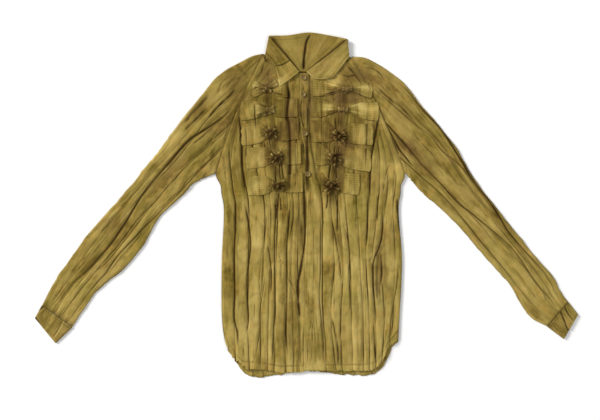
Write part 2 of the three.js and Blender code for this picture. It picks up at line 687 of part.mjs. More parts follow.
// A four-sided patch between curves: roll (u = 0), outer (u = 1), lead (v = 0)
// and neck (v = 1).
function patch(roll, outer, lead, neck, u, v) {
  const sides = [onCurve(roll, v), onCurve(outer, v), onCurve(lead, u), onCurve(neck, u)];
  const corners = [roll[0], outer[0], roll[roll.length - 1], outer[outer.length - 1]];
  return [0, 1].map((k) => {
    const across = mix(sides[0][k], sides[1][k], u) + mix(sides[2][k], sides[3][k], v);
    const flat = mix(mix(corners[0][k], corners[1][k], u), mix(corners[2][k], corners[3][k], u), v);
    return across - flat;
  });
}

function collarFall(name, roll, outer, lead, below) {
  const neck = [roll[roll.length - 1], outer[outer.length - 1]];
  const columns = 6;
  const rows = 9;
  const at = (i, j) => {
    const u = i / (columns - 1);
    const v = j / (rows - 1);
    const [x, y] = patch(roll, outer, lead, neck, u, v);
    const rest = Math.max(...below.map((mesh) => highestNear(mesh, x, y, COLLAR_REACH))) + SEAM_GAP;
    const low = Math.max(mix(COLLAR_ROLL, COLLAR_REST, u ** 0.7), rest);
    return { x, y, low, high: low + COLLAR_WALL };
  };
  return wall(name, columns, rows, at, CLOTH_COLOUR);
}

// The inner face of the stand and collar, behind the V of the neck.
function collarInside() {
  const columns = 15;
  const rows = 9;
  const at = (i, j) => {
    const f = i / (columns - 1);
    const v = j / (rows - 1);
    const left = onCurve(ROLL_LEFT, v);
    const right = onCurve(ROLL_RIGHT, v);
    const top = onCurve(TOP_EDGE, f);
    const inset = 0.03;
    const g = mix(inset, 1 - inset, f);
    const straightY = mix(ROLL_LEFT[2][1], ROLL_RIGHT[2][1], f);
    const x = mix(mix(left[0], right[0], g), top[0], v ** 4 * 0.5);
    const y = mix(left[1], right[1], g) + (top[1] - straightY) * v ** 3;
    const bowl = 4 * f * (1 - f);
    const crease = CENTRE_BACK_CREASE * Math.exp(-(((f - 0.52) / 0.05) ** 2)) * v;
    const low = mix(COLLAR_ROLL - 1.5, FRONT_FLOOR, bowl ** 0.5 * Math.min(1, 0.35 + v)) + crease;
    return { x, y, low, high: low + COLLAR_WALL - crease * 0.5 };
  };
  return wall("collar_inside", columns, rows, at, INSIDE_COLOUR);
}

// The back of the turned-down collar, which lies under the neck.
function collarFallBack() {
  const columns = 11;
  const at = (i, j) => {
    const f = i / (columns - 1);
    const top = onCurve(TOP_EDGE, f);
    const bottomX = mix(LEFT_OUTER[2][0], RIGHT_OUTER[2][0], f);
    const neck = mix(heightAt(NECKLINE, -94), heightAt(NECKLINE, 98), f);
    const bottomY = neck - BACK_NECK_DROP * Math.sin(Math.PI * f) + SEAM_GAP;
    const v = j / 3;
    return { x: mix(bottomX, top[0], v), y: mix(bottomY, top[1], v), low: 0, high: BACK_RIDGE - 0.3 };
  };
  return wall("collar_fall_back", columns, 4, at, CLOTH_COLOUR);
}

// ---- Assembly -----------------------------------------------------------------------------------

const group = new THREE.Group();
const fronts = [
  { side: "left", mesh: gridWall("front_left", leftGrid), bands: LEFT_BANDS, grid: leftGrid },
  { side: "right", mesh: gridWall("front_right", rightGrid), bands: RIGHT_BANDS, grid: rightGrid },
];

group.add(backPanel());
group.add(sleeve("sleeve_left", SIDES[0], LEFT_RINGS));
group.add(sleeve("sleeve_right", SIDES[1], RIGHT_RINGS));
group.add(cuff("cuff_left", LEFT_RINGS[LEFT_RINGS.length - 1], LEFT_CUFF_END));
group.add(cuff("cuff_right", RIGHT_RINGS[RIGHT_RINGS.length - 1], RIGHT_CUFF_END));
group.add(placket());
group.add(collarInside());
group.add(collarFallBack());

for (const front of fronts) {
  group.add(front.mesh);
  front.strips = front.bands.map((band, k) => {
    const strip = bandWall(`band_${front.side}_${k + 1}`, band, front.grid);
    const floor = highestNear(strip, band.knotX, band.knotY, KNOT_RADIUS + 8) + SEAM_GAP;
    group.add(strip);
    group.add(knot(`knot_${front.side}_${k + 1}`, band, floor, k * 1.3));
    return strip;
  });
}

const [left, right] = fronts.map(({ mesh, strips }) => [mesh, strips[0]]);
group.add(collarFall("collar_fall_left", ROLL_LEFT, LEFT_OUTER, LEFT_LEAD, left));
group.add(collarFall("collar_fall_right", ROLL_RIGHT, RIGHT_OUTER, RIGHT_LEAD, right));

BUTTONS.forEach((place, k) => group.add(button(`button_${k + 1}`, place)));

// The origin is under the middle of the garment's box.
const middle = new THREE.Box3().setFromObject(group).getCenter(new THREE.Vector3());
group.position.set(-middle.x, -middle.y, 0);

export default group;
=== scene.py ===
# %% [markdown]
# # A crinkle-pleated shirt blouse, laid flat
#
# The garment is thin olive-gold cloth that was twisted wet, so that it dried in long uneven pleats.
# Each cell below makes one sort of piece, in the order in which a sewer would meet them: the back, the
# fronts, the sleeves and cuffs, the front strip, the collar, the tied bands, the knots and the buttons.
#
# The solids of the part are loaded first. They say where each piece lies and how thick the heap of
# cloth is there, so nothing has to be fitted afterwards.

# %% Load the frame
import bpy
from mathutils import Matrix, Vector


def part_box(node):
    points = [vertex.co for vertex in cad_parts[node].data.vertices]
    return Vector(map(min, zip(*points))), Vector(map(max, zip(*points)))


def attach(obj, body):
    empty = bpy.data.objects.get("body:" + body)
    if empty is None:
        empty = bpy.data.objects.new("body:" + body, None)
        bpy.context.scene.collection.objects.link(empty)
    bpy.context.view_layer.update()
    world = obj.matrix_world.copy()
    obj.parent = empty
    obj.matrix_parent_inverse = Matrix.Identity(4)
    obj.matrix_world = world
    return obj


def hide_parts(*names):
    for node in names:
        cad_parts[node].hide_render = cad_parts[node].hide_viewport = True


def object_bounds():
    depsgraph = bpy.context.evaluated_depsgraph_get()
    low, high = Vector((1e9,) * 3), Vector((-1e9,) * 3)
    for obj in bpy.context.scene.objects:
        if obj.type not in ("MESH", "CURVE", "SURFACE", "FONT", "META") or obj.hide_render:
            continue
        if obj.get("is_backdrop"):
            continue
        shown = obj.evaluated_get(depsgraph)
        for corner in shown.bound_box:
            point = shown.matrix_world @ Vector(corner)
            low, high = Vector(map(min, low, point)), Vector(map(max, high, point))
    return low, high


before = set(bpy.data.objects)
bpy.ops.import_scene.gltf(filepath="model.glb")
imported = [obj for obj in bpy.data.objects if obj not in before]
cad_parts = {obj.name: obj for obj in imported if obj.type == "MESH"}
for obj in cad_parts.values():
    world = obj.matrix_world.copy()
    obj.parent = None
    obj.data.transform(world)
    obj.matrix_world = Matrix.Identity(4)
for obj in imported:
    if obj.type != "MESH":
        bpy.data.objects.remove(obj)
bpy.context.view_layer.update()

# %% What the cells below use
import math
from collections import namedtuple

import bmesh
import bpy
import numpy as np
from mathutils import Matrix, Vector
from mathutils.bvhtree import BVHTree

MM = 0.001


def in_scene(name, data):
    """Puts new data into the scene as an object."""
    thing = bpy.data.objects.new(name, data)
    bpy.context.scene.collection.objects.link(thing)
    return thing


def finished(name, bm):
    """Ends the work on a bmesh: its shape as a mesh."""
    mesh = bpy.data.meshes.new(name)
    bm.to_mesh(mesh)
    bm.free()
    return mesh


def new_material(name):
    """A material with its node tree and its shader."""
    material = bpy.data.materials.new(name)
    material.use_nodes = True
    return material, material.node_tree, material.node_tree.nodes["Principled BSDF"]


# %% [markdown]
# ## Where the drawing lies
#
# All sizes below are in millimetres on the garment's own drawing, whose x = 0 is near the front edge
# and whose y = 0 is near the waist. The frame puts its origin under the middle of the garment's box
# instead. One button's place is known on both, so their difference is the shift from one to the other.

# %% Buttons and the shift from the drawing to the frame
BUTTONS = [(-6, 274), (-7, 238), (-3, 154), (3, 67)]

low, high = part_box("button_1")
SHIFT = [(low[k] + high[k]) / 2 / MM - BUTTONS[0][k] for k in range(2)]
print("shift of the drawing, mm:", [round(s, 2) for s in SHIFT])

# %% [markdown]
# ## Camera, floor and light
#
# The blouse lies on its back and is looked at from straight above, so the camera has no turn at all: an
# unturned camera looks down with +Y at the top. A long lens from three metres keeps the sleeves' ends
# from leaning outwards. Relief as low as this only shows under light from the side, so one large soft
# lamp stands low at the upper left, and a weaker one and a pale world open up the shadows.

# %% Camera
SEEN_WIDTH = 1.29  # metres of floor from side to side of the view
CAMERA_HEIGHT = 3.0
CAMERA_PLACE = (-0.0140, -0.0106)

camera_data = bpy.data.cameras.new("camera")
camera_data.sensor_width = 36
camera_data.lens = camera_data.sensor_width * CAMERA_HEIGHT / SEEN_WIDTH
camera = in_scene("camera", camera_data)
camera.location = (*CAMERA_PLACE, CAMERA_HEIGHT)
bpy.context.scene.camera = camera
print("lens, mm:", round(camera_data.lens, 1))

# %% Floor and lamps
FLOOR_REACH = 6
FLOOR_CLEAR = 0.0005  # the floor is this much below the cloth, so that no two faces fight

bm = bmesh.new()
bmesh.ops.create_grid(bm, x_segments=1, y_segments=1, size=FLOOR_REACH)
floor = in_scene("floor", finished("floor", bm))
floor.location.z = -FLOOR_CLEAR
paper, tree, shader = new_material("paper")
shader.inputs["Base Color"].default_value = (0.96, 0.96, 0.955, 1)
shader.inputs["Roughness"].default_value = 0.95
shader.inputs["Specular IOR Level"].default_value = 0.1
floor.data.materials.append(paper)
floor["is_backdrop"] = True


def add_lamp(name, place, size, watts, colour=(1, 1, 1)):
    """A square soft lamp that faces the garment."""
    data = bpy.data.lights.new(name, "AREA")
    data.size = size
    data.energy = watts
    data.color = colour
    lamp = in_scene(name, data)
    lamp.location = place
    lamp.rotation_euler = Vector(place).to_track_quat("Z", "Y").to_euler()


add_lamp("key", (-6.4, 3.6, 4.2), 3.0, 800, (1.0, 0.985, 0.96))
add_lamp("fill", (2.6, -2.2, 4.2), 3.4, 80, (0.97, 0.985, 1.0))
world = bpy.data.worlds.new("studio")
world.use_nodes = True
world.node_tree.nodes["Background"].inputs["Color"].default_value = (1, 1, 1, 1)
world.node_tree.nodes["Background"].inputs["Strength"].default_value = 0.4
bpy.context.scene.world = world
bpy.context.scene.view_settings.view_transform = "Standard"

# %% [markdown]
# ## Curves and crumples
#
# Two small tools serve every piece. `along` reads a smooth curve through a few equally spaced values,
# which is how a crease that is known at eight heights becomes a crease at every height. `grain` is soft
# random relief of a chosen size: each call draws its own table from its own seed, so the cloth crumples
# in the same way on each run.


# %% Read a smooth curve, and draw soft relief
GRAIN_TABLE = (97, 89)  # how many hills each way before the relief repeats


def along(values, t):
    """The value of a smooth curve through equally spaced values, at places t."""
    values = np.asarray(values, float)
    t = np.asarray(t, float)
    last = len(values) - 1
    k = np.clip(t.astype(int), 0, last - 1)
    f = t - k
    p1, p2 = values[k], values[k + 1]
    p0 = np.where(k > 0, values[np.maximum(k - 1, 0)], 2 * p1 - p2)
    p3 = np.where(k + 2 <= last, values[np.minimum(k + 2, last)], 2 * p2 - p1)
    bend = 2 * p0 - 5 * p1 + 4 * p2 - p3 + (3 * (p1 - p2) + p3 - p0) * f
    return p1 + 0.5 * f * (p2 - p0 + f * bend)


def on_curve(points, t):
    """Points at share t of the way along a smooth curve through a few points."""
    points = np.array(points, float)
    place = np.asarray(t, float) * (len(points) - 1)
    return along(points[:, 0], place), along(points[:, 1], place)


def soft_step(t):
    """0 below 0, 1 above 1, and a smooth rise between."""
    t = np.clip(t, 0, 1)
    return t * t * (3 - 2 * t)


def mix(a, b, t):
    """a at t = 0, b at t = 1, and evenly between."""
    return a + (b - a) * t


def grid(first, last, left, right, rows, columns):
    """Two tables: one grows from row to row, the other from column to column."""
    by_row = np.linspace(first, last, rows)[:, None] + np.zeros((1, columns))
    return by_row, np.linspace(left, right, columns)[None, :] + np.zeros((rows, 1))


def hump(distance, width):
    """1 at no distance, falling softly to 0 over about a width."""
    return np.exp(-((distance / width) ** 2))


def grain(x, y, wide, tall, seed):
    """Soft random relief between -1 and 1, with hills about wide by tall millimetres."""
    table = np.random.default_rng(seed).uniform(-1, 1, GRAIN_TABLE)
    gx, gy = x / wide, y / tall
    ix, iy = np.floor(gx).astype(int), np.floor(gy).astype(int)
    fx, fy = soft_step(gx - ix), soft_step(gy - iy)

    def at(column, row):
        return table[column % GRAIN_TABLE[0], row % GRAIN_TABLE[1]]

    return mix(mix(at(ix, iy), at(ix + 1, iy), fx), mix(at(ix, iy + 1), at(ix + 1, iy + 1), fx), fy)


def ribbons(across, length, wide, tall, seed):
    """-1 to 1: narrow ribbons along the cloth, each with its own level, with a sharp edge between two."""
    bent = across + 5 * grain(across, length, 25, 36, seed + 31)
    bent = bent + 1.5 * grain(across, length, 9, 23, seed + 36)
    number = np.floor(bent / wide)
    return grain(number * 3.0 + 0 * length, length + 17 * number, 1, tall, seed + 37)


def small_creases(across, length, seed):
    """0 to 1: thin wandering creases, mostly along the cloth and a few across it."""
    bent = across + 5 * grain(across, length, 25, 36, seed + 31)
    lengthwise = 1 - np.abs(grain(bent, length, 9, 64, seed + 32))
    crosswise = 1 - np.abs(grain(across + 0.7 * length, length - 0.25 * across, 34, 27, seed + 33))
    here = np.clip(0.5 + grain(across, length, 28, 45, seed + 34), 0, 1)
    there = np.clip(0.2 + 1.2 * grain(across, length, 40, 36, seed + 35), 0, 1)
    return np.maximum(lengthwise**9 * here, crosswise**13 * there)


def crinkle(sheet, seed):
    """The fine relief of crinkled cloth, in millimetres: narrow ridges along it and dents across it."""
    across, length = sheet["across"], sheet["length"]
    bent = across + 6 * grain(across, length, 31, 43, seed) + 2 * grain(across, length, 11, 27, seed + 5)
    ridges = grain(bent, length, 4.6, 46, seed + 1) * (0.34 + 0.3 * grain(bent, length, 23, 37, seed + 6))
    fine = 0.2 * grain(bent, length, 2.3, 26, seed + 2)
    long_facets = np.abs(grain(bent, length + 0.2 * across, 19, 58, seed + 3))
    cross_facets = np.abs(grain(across + 0.6 * length, length - 0.3 * across, 21, 24, seed + 4))
    small_facets = np.abs(grain(bent - 0.2 * length, length, 8, 23, seed + 7))
    facets = 1.5 * long_facets + 1.2 * cross_facets + 0.8 * small_facets - 1.2
    steps = 0.55 * ribbons(across, length, 8, 52, seed) + 0.3 * ribbons(across, length, 15, 80, seed + 2)
    return 0.3 * ridges + 0.6 * fine + facets + steps - 0.6 * small_creases(across, length, seed)


def crumple(x, y, seed):
    """Relief of cloth that lies crumpled without a direction: flat facets and short folds."""
    bent_x, bent_y = x + 7 * grain(x, y, 23, 19, seed), y + 7 * grain(x, y, 21, 25, seed + 1)
    broad = np.abs(grain(bent_x + 0.6 * bent_y, bent_y, 27, 21, seed + 2))
    short = np.abs(grain(bent_x - 0.8 * bent_y, bent_y + 0.3 * bent_x, 15, 13, seed + 3))
    small = np.abs(grain(bent_x, bent_y, 8, 7, seed + 4))
    return 2.4 * broad + 1.5 * short + 0.7 * small - 1.6


def yoke(x, y):
    """1 around the neck and over the shoulders, where the pleats open into crumples, and 0 elsewhere."""
    return soft_step((y - 165 + 0.25 * np.abs(x)) / 70) * soft_step((235 - np.abs(x)) / 70)


across, length = np.mgrid[0:200, 0:600]
sample = crinkle({"across": across, "length": length}, 5)
print("crinkle spans, mm:", round(float(np.ptp(sample)), 2))

# %% [markdown]
# ## Pressed-in creases
#
# Between the broad pleats the cloth has sharp dark creases, and they are what the eye follows. Each is
# listed with the stretch of cloth it crosses: how wide it is, how dark it is, in painted shade and the
# dye gathered there, and the few points it runs through. `press` finds each point's distance to that
# route, sinks a narrow trough there, leaves the cloth a little proud on one side, as where a pleat lies
# over its neighbour, and paints the crease's shade into the cloth's fold darkness, for the material to
# read.


# %% Press a crease into a sheet
Crease = namedtuple("Crease", "width dark route")
WANDER = 1.1  # how far a crease strays from its drawn route, mm
FADE = 0.14  # share of its length over which a crease begins and ends
DEEPEST = 3.4  # no crease sinks the cloth by more, mm
THIN_BELOW = -20  # creases are thinner and fainter from here down
THIN_OVER = 90
STEPS_PER_SPAN = 5


def nearest(route, x, y):
    """How far points lie from a route, on which side of it, and how far along it, from 0 to 1."""
    steps = STEPS_PER_SPAN * (len(route) - 1)
    path = np.stack(on_curve(route, np.linspace(0, 1, steps + 1)), 1)
    best = np.full(x.shape, 1e9)
    side = np.zeros(x.shape)
    share = np.zeros(x.shape)
    for k in range(steps):
        start, step = path[k], path[k + 1] - path[k]
        t = np.clip(((x - start[0]) * step[0] + (y - start[1]) * step[1]) / (step @ step), 0, 1)
        dx, dy = x - start[0] - t * step[0], y - start[1] - t * step[1]
        distance = np.hypot(dx, dy)
        closer = distance < best
        best = np.where(closer, distance, best)
        side = np.where(closer, np.sign(step[0] * dy - step[1] * dx), side)
        share = np.where(closer, (k + t) / steps, share)
    return best, side, share


def press(sheet, creases, floor, strength=1.0):
    """Presses creases into a sheet, no lower than floor, and paints shade into them."""
    x, y = sheet["x"], sheet["y"]
    for number, crease in enumerate(Crease(*row) for row in creases):
        reach = 4 * crease.width + 6
        route = np.array(crease.route, float)
        lo, hi = route.min(0) - reach, route.max(0) + reach
        near = (x > lo[0]) & (x < hi[0]) & (y > lo[1]) & (y < hi[1])
        if not near.any():
            continue
        x_here, y_here = x[near], y[near]
        bent_x = x_here + WANDER * grain(x_here, y_here, 31, 47, 500)
        bent_x = bent_x + 0.2 * grain(x_here, y_here, 7, 9, 501)
        bent_y = y_here + WANDER * grain(x_here, y_here, 31, 47, 502)
        distance, side, share = nearest(crease.route, bent_x, bent_y)
        ends = soft_step(share / FADE) * soft_step((1 - share) / FADE)
        uneven = np.clip(0.88 + 0.3 * grain(share * 90, share * 0, 13, 9, 300 + number), 0.4, 1.1)
        power = strength * ends * uneven
        wrinkle = crease.width > 2.5 and crease.dark < 0.4  # a soft wide one, with no sharp bottom
        bottom, depth = (1.5, 0.35) if wrinkle else (0.62, 1.2)
        trough = power * hump(distance, bottom * crease.width) * min(depth * crease.width, DEEPEST)
        shoulder = 0.35 * power * hump(distance, 2.6 * crease.width)
        lip = 0.8 * power * hump(distance - 1.7 * crease.width, crease.width) * (side > 0)
        z = sheet["z"][near]
        least = np.minimum(z, np.broadcast_to(floor, x.shape)[near])
        sheet["z"][near] = np.maximum(z - trough - shoulder + lip, least)
        # painted shade in the crease and a wider haze of it beside, which stands also for dye gathered
        # there
        width = crease.width * (0.64 + 0.2 * grain(share * 90, share * 0, 15, 9, 700 + number))
        thin = soft_step((THIN_BELOW - bent_y) / THIN_OVER)
        width = (1.5 if wrinkle else 1.0) * width * (1 - 0.16 * thin)
        dark = (0.7 if wrinkle else 1.45) * crease.dark * power * hump(distance, width) * (1 - 0.18 * thin)
        haze = 0.2 * crease.dark * power * hump(distance, 2.2 * crease.width)
        sheet["fold"][near] = np.maximum(sheet["fold"][near], np.clip(dark + haze, 0, 1))


# %% [markdown]
# ## Uneven dye, with painted light and shade
#
# The cloth was dyed by hand, so it has golden clearings and mauve-brown or olive clouds, and the bows
# are browner than the rest. Some clouds are painted light and not dye: painted shade round and between
# the knots, under the first left bow and along the right sleeve's upper edge, and painted highlights on
# the lobes of the bows. These clouds sit at known places on the garment, so they are a short list of
# soft spots, each with its size, its turn, how light it is and how mauve. Their edges are bent by a
# little relief, because dye never leaves a clean ellipse. Finer mottling is left to the material.

# %% The clouds of dye, and of painted light and shade
Cloud = namedtuple("Cloud", "x y wide tall turn light mauve")
CLOUDS = [Cloud(*row) for row in [
    # the dark clouds at the bows below are painted shade round and between the knots, with mauve-brown dye
    # in it
    (-87, 282, 12, 30, 0, -0.3, 0.5),
    (-87, 251, 14, 13, 0, -0.4, 0.4),
    (-85, 204, 12, 12, 0, -0.25, 0.4),
    (-74, 150, 18, 18, 0, -0.5, 0.7),
    (-63, 97, 18, 20, 0, -0.45, 0.6),
    (-63, 39, 20, 16, 0, -0.5, 0.6),
    (87, 247, 32, 22, 0, -0.65, 1.0),
    (83, 226, 42, 12, 0, -0.45, 0.8),
    (76, 204, 18, 20, 0, -0.55, 0.6),
    (70, 146, 21, 24, 0, -0.65, 0.6),
    (63, 101, 21, 24, 0, -0.65, 0.6),
    (55, 41, 20, 24, 0, -0.65, 0.6),
    (66, 71, 12, 26, 0, -0.4, 0.4),
    (106, 127, 36, 9, 0, -0.5, 0.4),
    (115, 280, 28, 18, -40, -0.35, 0.6),
    (190, 118, 20, 26, 0, -0.35, 0.6),
    (255, 86, 34, 18, -50, -0.42, 0.7),
    (226, 124, 24, 13, -45, -0.4, 0.7),
    (-229, 215, 28, 12, 48, -0.5, 0.4),
    (-182, 166, 28, 18, 45, -0.28, 0.4),
    (-300, 70, 60, 14, 47, -0.3, 0.5),
    (-33, 172, 11, 52, 0, -0.35, 0.7),
    (3, 226, 16, 40, 0, -0.3, 0.7),
    (-18, -45, 14, 34, 0, -0.35, 0.5),
    (-169, -163, 18, 26, 0, -0.45, 0),
    (-165, -22, 15, 40, 0, -0.3, 0),
    (70, -71, 16, 24, 0, -0.35, 0.6),
    (154, -135, 13, 60, 0, -0.36, 0.5),
    (169, -65, 26, 30, 0, -0.3, 0.4),
    (-53, -301, 9, 30, 0, -0.15, 0.3),
    (40, -290, 8, 40, 0, -0.15, 0.2),
    (66, -316, 10, 30, 0, -0.15, 0.3),
    (-22, 100, 13, 36, 0, 0.35, 0),
    # painted shade in the valley beneath the first left bow
    (-86, 228, 26, 9, 0, -0.45, 0),
    # painted shade along the right sleeve's upper edge
    (383, 28, 90, 8, -57, -0.95, 0.3),
    # painted highlight on a lobe of the second right bow
    (46, 212, 20, 5, -8, 0.5, -0.2),
    (-104, -82, 20, 28, 0, 0.3, 0),
    (-139, -125, 12, 26, 0, 0.45, 0),
    (-55, -112, 13, 13, 0, 0.45, 0),
    (-35, -82, 10, 12, 0, 0.3, 0),
    (8, -172, 8, 42, 0, 0.35, 0),
    (98, -183, 40, 80, 0, 0.32, 0),
    (190, -204, 12, 60, 0, 0.2, 0),
    (-111, -247, 42, 60, 0, 0.2, 0),
    (-113, 146, 20, 15, 0, 0.45, 0),
    (-106, 95, 18, 15, 0, 0.5, 0),
    (-104, 45, 18, 13, 0, 0.45, 0),
    (-46, 125, 12, 10, 0, 0.35, 0),
    # painted highlights on the lobes of the right bows
    (120, 211, 31, 8.5, -3, 1.25, -0.6),
    (46, 210, 16, 9, 0, 1.1, -0.6),
    (59, 259, 15, 9, -20, 1.1, -0.6),
    (119, 254, 24, 9, -14, 1.15, -0.6),
    (109, 153, 24, 14, 0, 0.5, 0),
    (104, 97, 28, 18, 0, 0.45, 0),
    (180, 88, 24, 26, 0, 0.45, 0),
    (61, 307, 30, 16, 35, 0.3, 0),
    (319, -22, 44, 26, -50, 0.25, 0),
    (480, -172, 50, 30, -50, 0.32, 0),
    (169, 290, 34, 14, -35, 0.25, 0),
    (-300, 112, 70, 14, 48, 0.25, 0),
    (-430, -60, 60, 16, 50, 0.12, 0),
    (-138, 268, 48, 44, 40, -0.32, 0.35),
    (-170, 196, 46, 26, 45, -0.22, 0.1),
    (142, 282, 46, 34, -40, -0.28, 0.3),
    (196, 214, 60, 14, -47, -0.22, 0.2),
    # painted shade along the right sleeve's upper edge
    (313, 144, 66, 8, -57, -0.5, 0),
    (140, -230, 50, 90, 0, 0.3, 0),
    (66, -180, 14, 60, 0, 0.2, 0),
    (-398, -70, 70, 36, 48, -0.22, 0.1),
    (-215, 120, 50, 40, 45, -0.22, 0.1),
    (142, -60, 60, 120, 0, 0.1, 0),
    (-100, -200, 60, 130, 0, 0.1, 0),
    (0, 205, 200, 60, 0, -0.12, 0.05),
    (-60, 150, 100, 90, 0, -0.18, 0.08),
    (70, 150, 100, 90, 0, -0.2, 0.08),
    (98, -183, 60, 120, 0, 0.12, 0),
    (-330, 10, 190, 60, 48, -0.12, 0.1),
    (330, 10, 190, 60, -50, -0.07, 0.1),
    # painted highlights on the lobes of the first and second left bows
    (-60, 262, 16, 9, 32, 1.0, -0.6),
    (-113, 259, 16, 9, -20, 1.0, -0.6),
    (-66, 205, 12, 8, 0, 0.6, -0.4),
    (-106, 205, 13, 10, 0, 0.6, -0.4),
    (-104, -322, 26, 28, 0, 0.32, -0.2),
    (-72, -285, 14, 30, 0, 0.25, -0.2),
    (42, -108, 16, 22, 0, 0.3, -0.2),
]]
UPPER_EDGE = 20  # above this height the whole shirt front is a shade darker


def darken(sheet, amount):
    """Paints shade into a sheet: its folds become at least so dark."""
    sheet["fold"] = np.maximum(sheet["fold"], amount)


def dye_and_paint_light(sheet, seed, broken=1.0):
    """Writes how light and how mauve the cloth is at each point of a sheet, from dye and from painted light
    and shade, and how broken up it looks.
    """
    laid_x, laid_y = sheet["x"], sheet["y"]
    across, length = sheet["across"], sheet["length"]
    x = laid_x + 7 * grain(laid_x, laid_y, 19, 19, seed) + 3 * grain(laid_x, laid_y, 7, 7, seed + 1)
    y = laid_y + 7 * grain(laid_x, laid_y, 19, 19, seed + 2)
    light = np.zeros(x.shape)
    mauve = np.zeros(x.shape)
    for cloud in CLOUDS:
        turn = math.radians(cloud.turn)
        dx, dy = x - cloud.x, y - cloud.y
        u = (dx * math.cos(turn) + dy * math.sin(turn)) / cloud.wide
        v = (dy * math.cos(turn) - dx * math.sin(turn)) / cloud.tall
        spot = np.exp(-(u**2) - v**2)
        light += cloud.light * spot
        mauve += cloud.mauve * spot
    body = soft_step((laid_y - UPPER_EDGE + 40) / 90) * soft_step((190 - np.abs(laid_x)) / 50)
    facets = np.abs(grain(across, length + 0.3 * across, 12, 31, seed + 4))
    patches = np.abs(grain(x + 0.7 * y, y - 0.6 * x, 17, 14, seed + 5))
    narrow, broad = ribbons(across, length, 8, 52, seed), ribbons(across, length, 15, 80, seed + 2)
    light = light + broken * (0.24 * facets + 0.2 * patches - 0.17 + 0.2 * narrow + 0.14 * broad)
    sheet["light"] = np.clip(light - 0.2 * body, -1, 1)
    warm = np.clip(grain(x, y, 41, 33, seed + 6), -0.2, 1)
    sheet["mauve"] = np.clip(mauve + 0.1 * body + 0.25 * warm, 0, 1)
    # painted shade in the thin creases that crinkle sinks into the cloth
    darken(sheet, 0.3 * broken * small_creases(across, length, seed))


print("clouds of dye:", len(CLOUDS))

# %% [markdown]
# ## The cloth's finish
#
# One recipe colours every cloth piece, so the pieces look cut from one length. From the broad to the
# fine: the clouds of dye and of painted light and shade set how light the place is, a mottle in the
# garment's own space breaks them up, and thin streaks follow the pleats through the piece's UV map,
# which is laid out in real metres along the cloth. Folds are mixed in last, in a dark brown: painted
# shade, with the dye that gathers there. The same streaks and a plain weave of half-millimetre threads
# also tilt the surface a little through a bump.
# The cloth has a faint satin sheen, which comes from the shader and not from painted light.


# %% A cloth material
def add(tree, kind, inputs=(), **settings):
    """Adds a shader node. Inputs give a socket's name or number, with a value or a socket to link."""
    node = tree.nodes.new(f"ShaderNode{kind}")
    for key, value in settings.items():
        setattr(node, key, value)
    for key, value in dict(inputs).items():
        if isinstance(value, bpy.types.NodeSocket):
            tree.links.new(value, node.inputs[key])
        else:
            node.inputs[key].default_value = value
    return node


def scaled(tree, value, factor, plus=0.0):
    """value * factor + plus"""
    return add(tree, "Math", {0: value, 1: factor, 2: plus}, operation="MULTIPLY_ADD").outputs[0]


def summed(tree, *values):
    """The sum of several values."""
    total = values[0]
    for value in values[1:]:
        total = add(tree, "Math", {0: total, 1: value}, operation="ADD").outputs[0]
    return total


def noise(tree, place, scale, detail, roughness=0.5):
    """A noise texture."""
    inputs = {"Vector": place, "Scale": scale, "Detail": detail, "Roughness": roughness}
    return add(tree, "TexNoise", inputs).outputs


def waves(tree, place, per_metre, distortion, detail, direction):
    """Even lines, so many to a metre of cloth."""
    inputs = {"Vector": place, "Scale": per_metre * WAVE_SCALE, "Distortion": distortion, "Detail": detail}
    return add(tree, "TexWave", inputs, bands_direction=direction).outputs["Fac"]


def limited(tree, value, most):
    """A value that is kept between 0 and a most."""
    return add(tree, "Clamp", {0: value, "Max": most}).outputs[0]


def blended(tree, share, first, second):
    """A colour between two, each a colour or a socket."""
    return add(tree, "Mix", {0: share, 6: first, 7: second}, data_type="RGBA").outputs[2]


# how light the cloth is comes from dye and from painted light and shade; each stop gives its colour
DYE_COLOURS = [  # how light the dye is, and its colour there
    (0.00, (0.075, 0.045, 0.006, 1)),
    (0.25, (0.180, 0.122, 0.020, 1)),
    (0.50, (0.340, 0.245, 0.061, 1)),
    (0.72, (0.460, 0.342, 0.099, 1)),
    (1.00, (0.600, 0.462, 0.155, 1)),
]
MAUVE = (0.185, 0.110, 0.040, 1)
OLIVE = (0.190, 0.165, 0.022, 1)
AMBER = (0.480, 0.290, 0.065, 1)
# FOLD_BROWN is the painted shade of the folds, with the dye that gathers there
FOLD_BROWN = (0.030, 0.014, 0.002, 1)
THREADS_PER_METRE = 1900
STRIPES_PER_METRE = 290
WAVE_SCALE = 0.314  # of Blender's wave texture, for one line in each unit of length
STREAKS = (420, 26, 1)  # a metre of cloth holds so many streaks across and along
FACETS = (95, 24, 1)


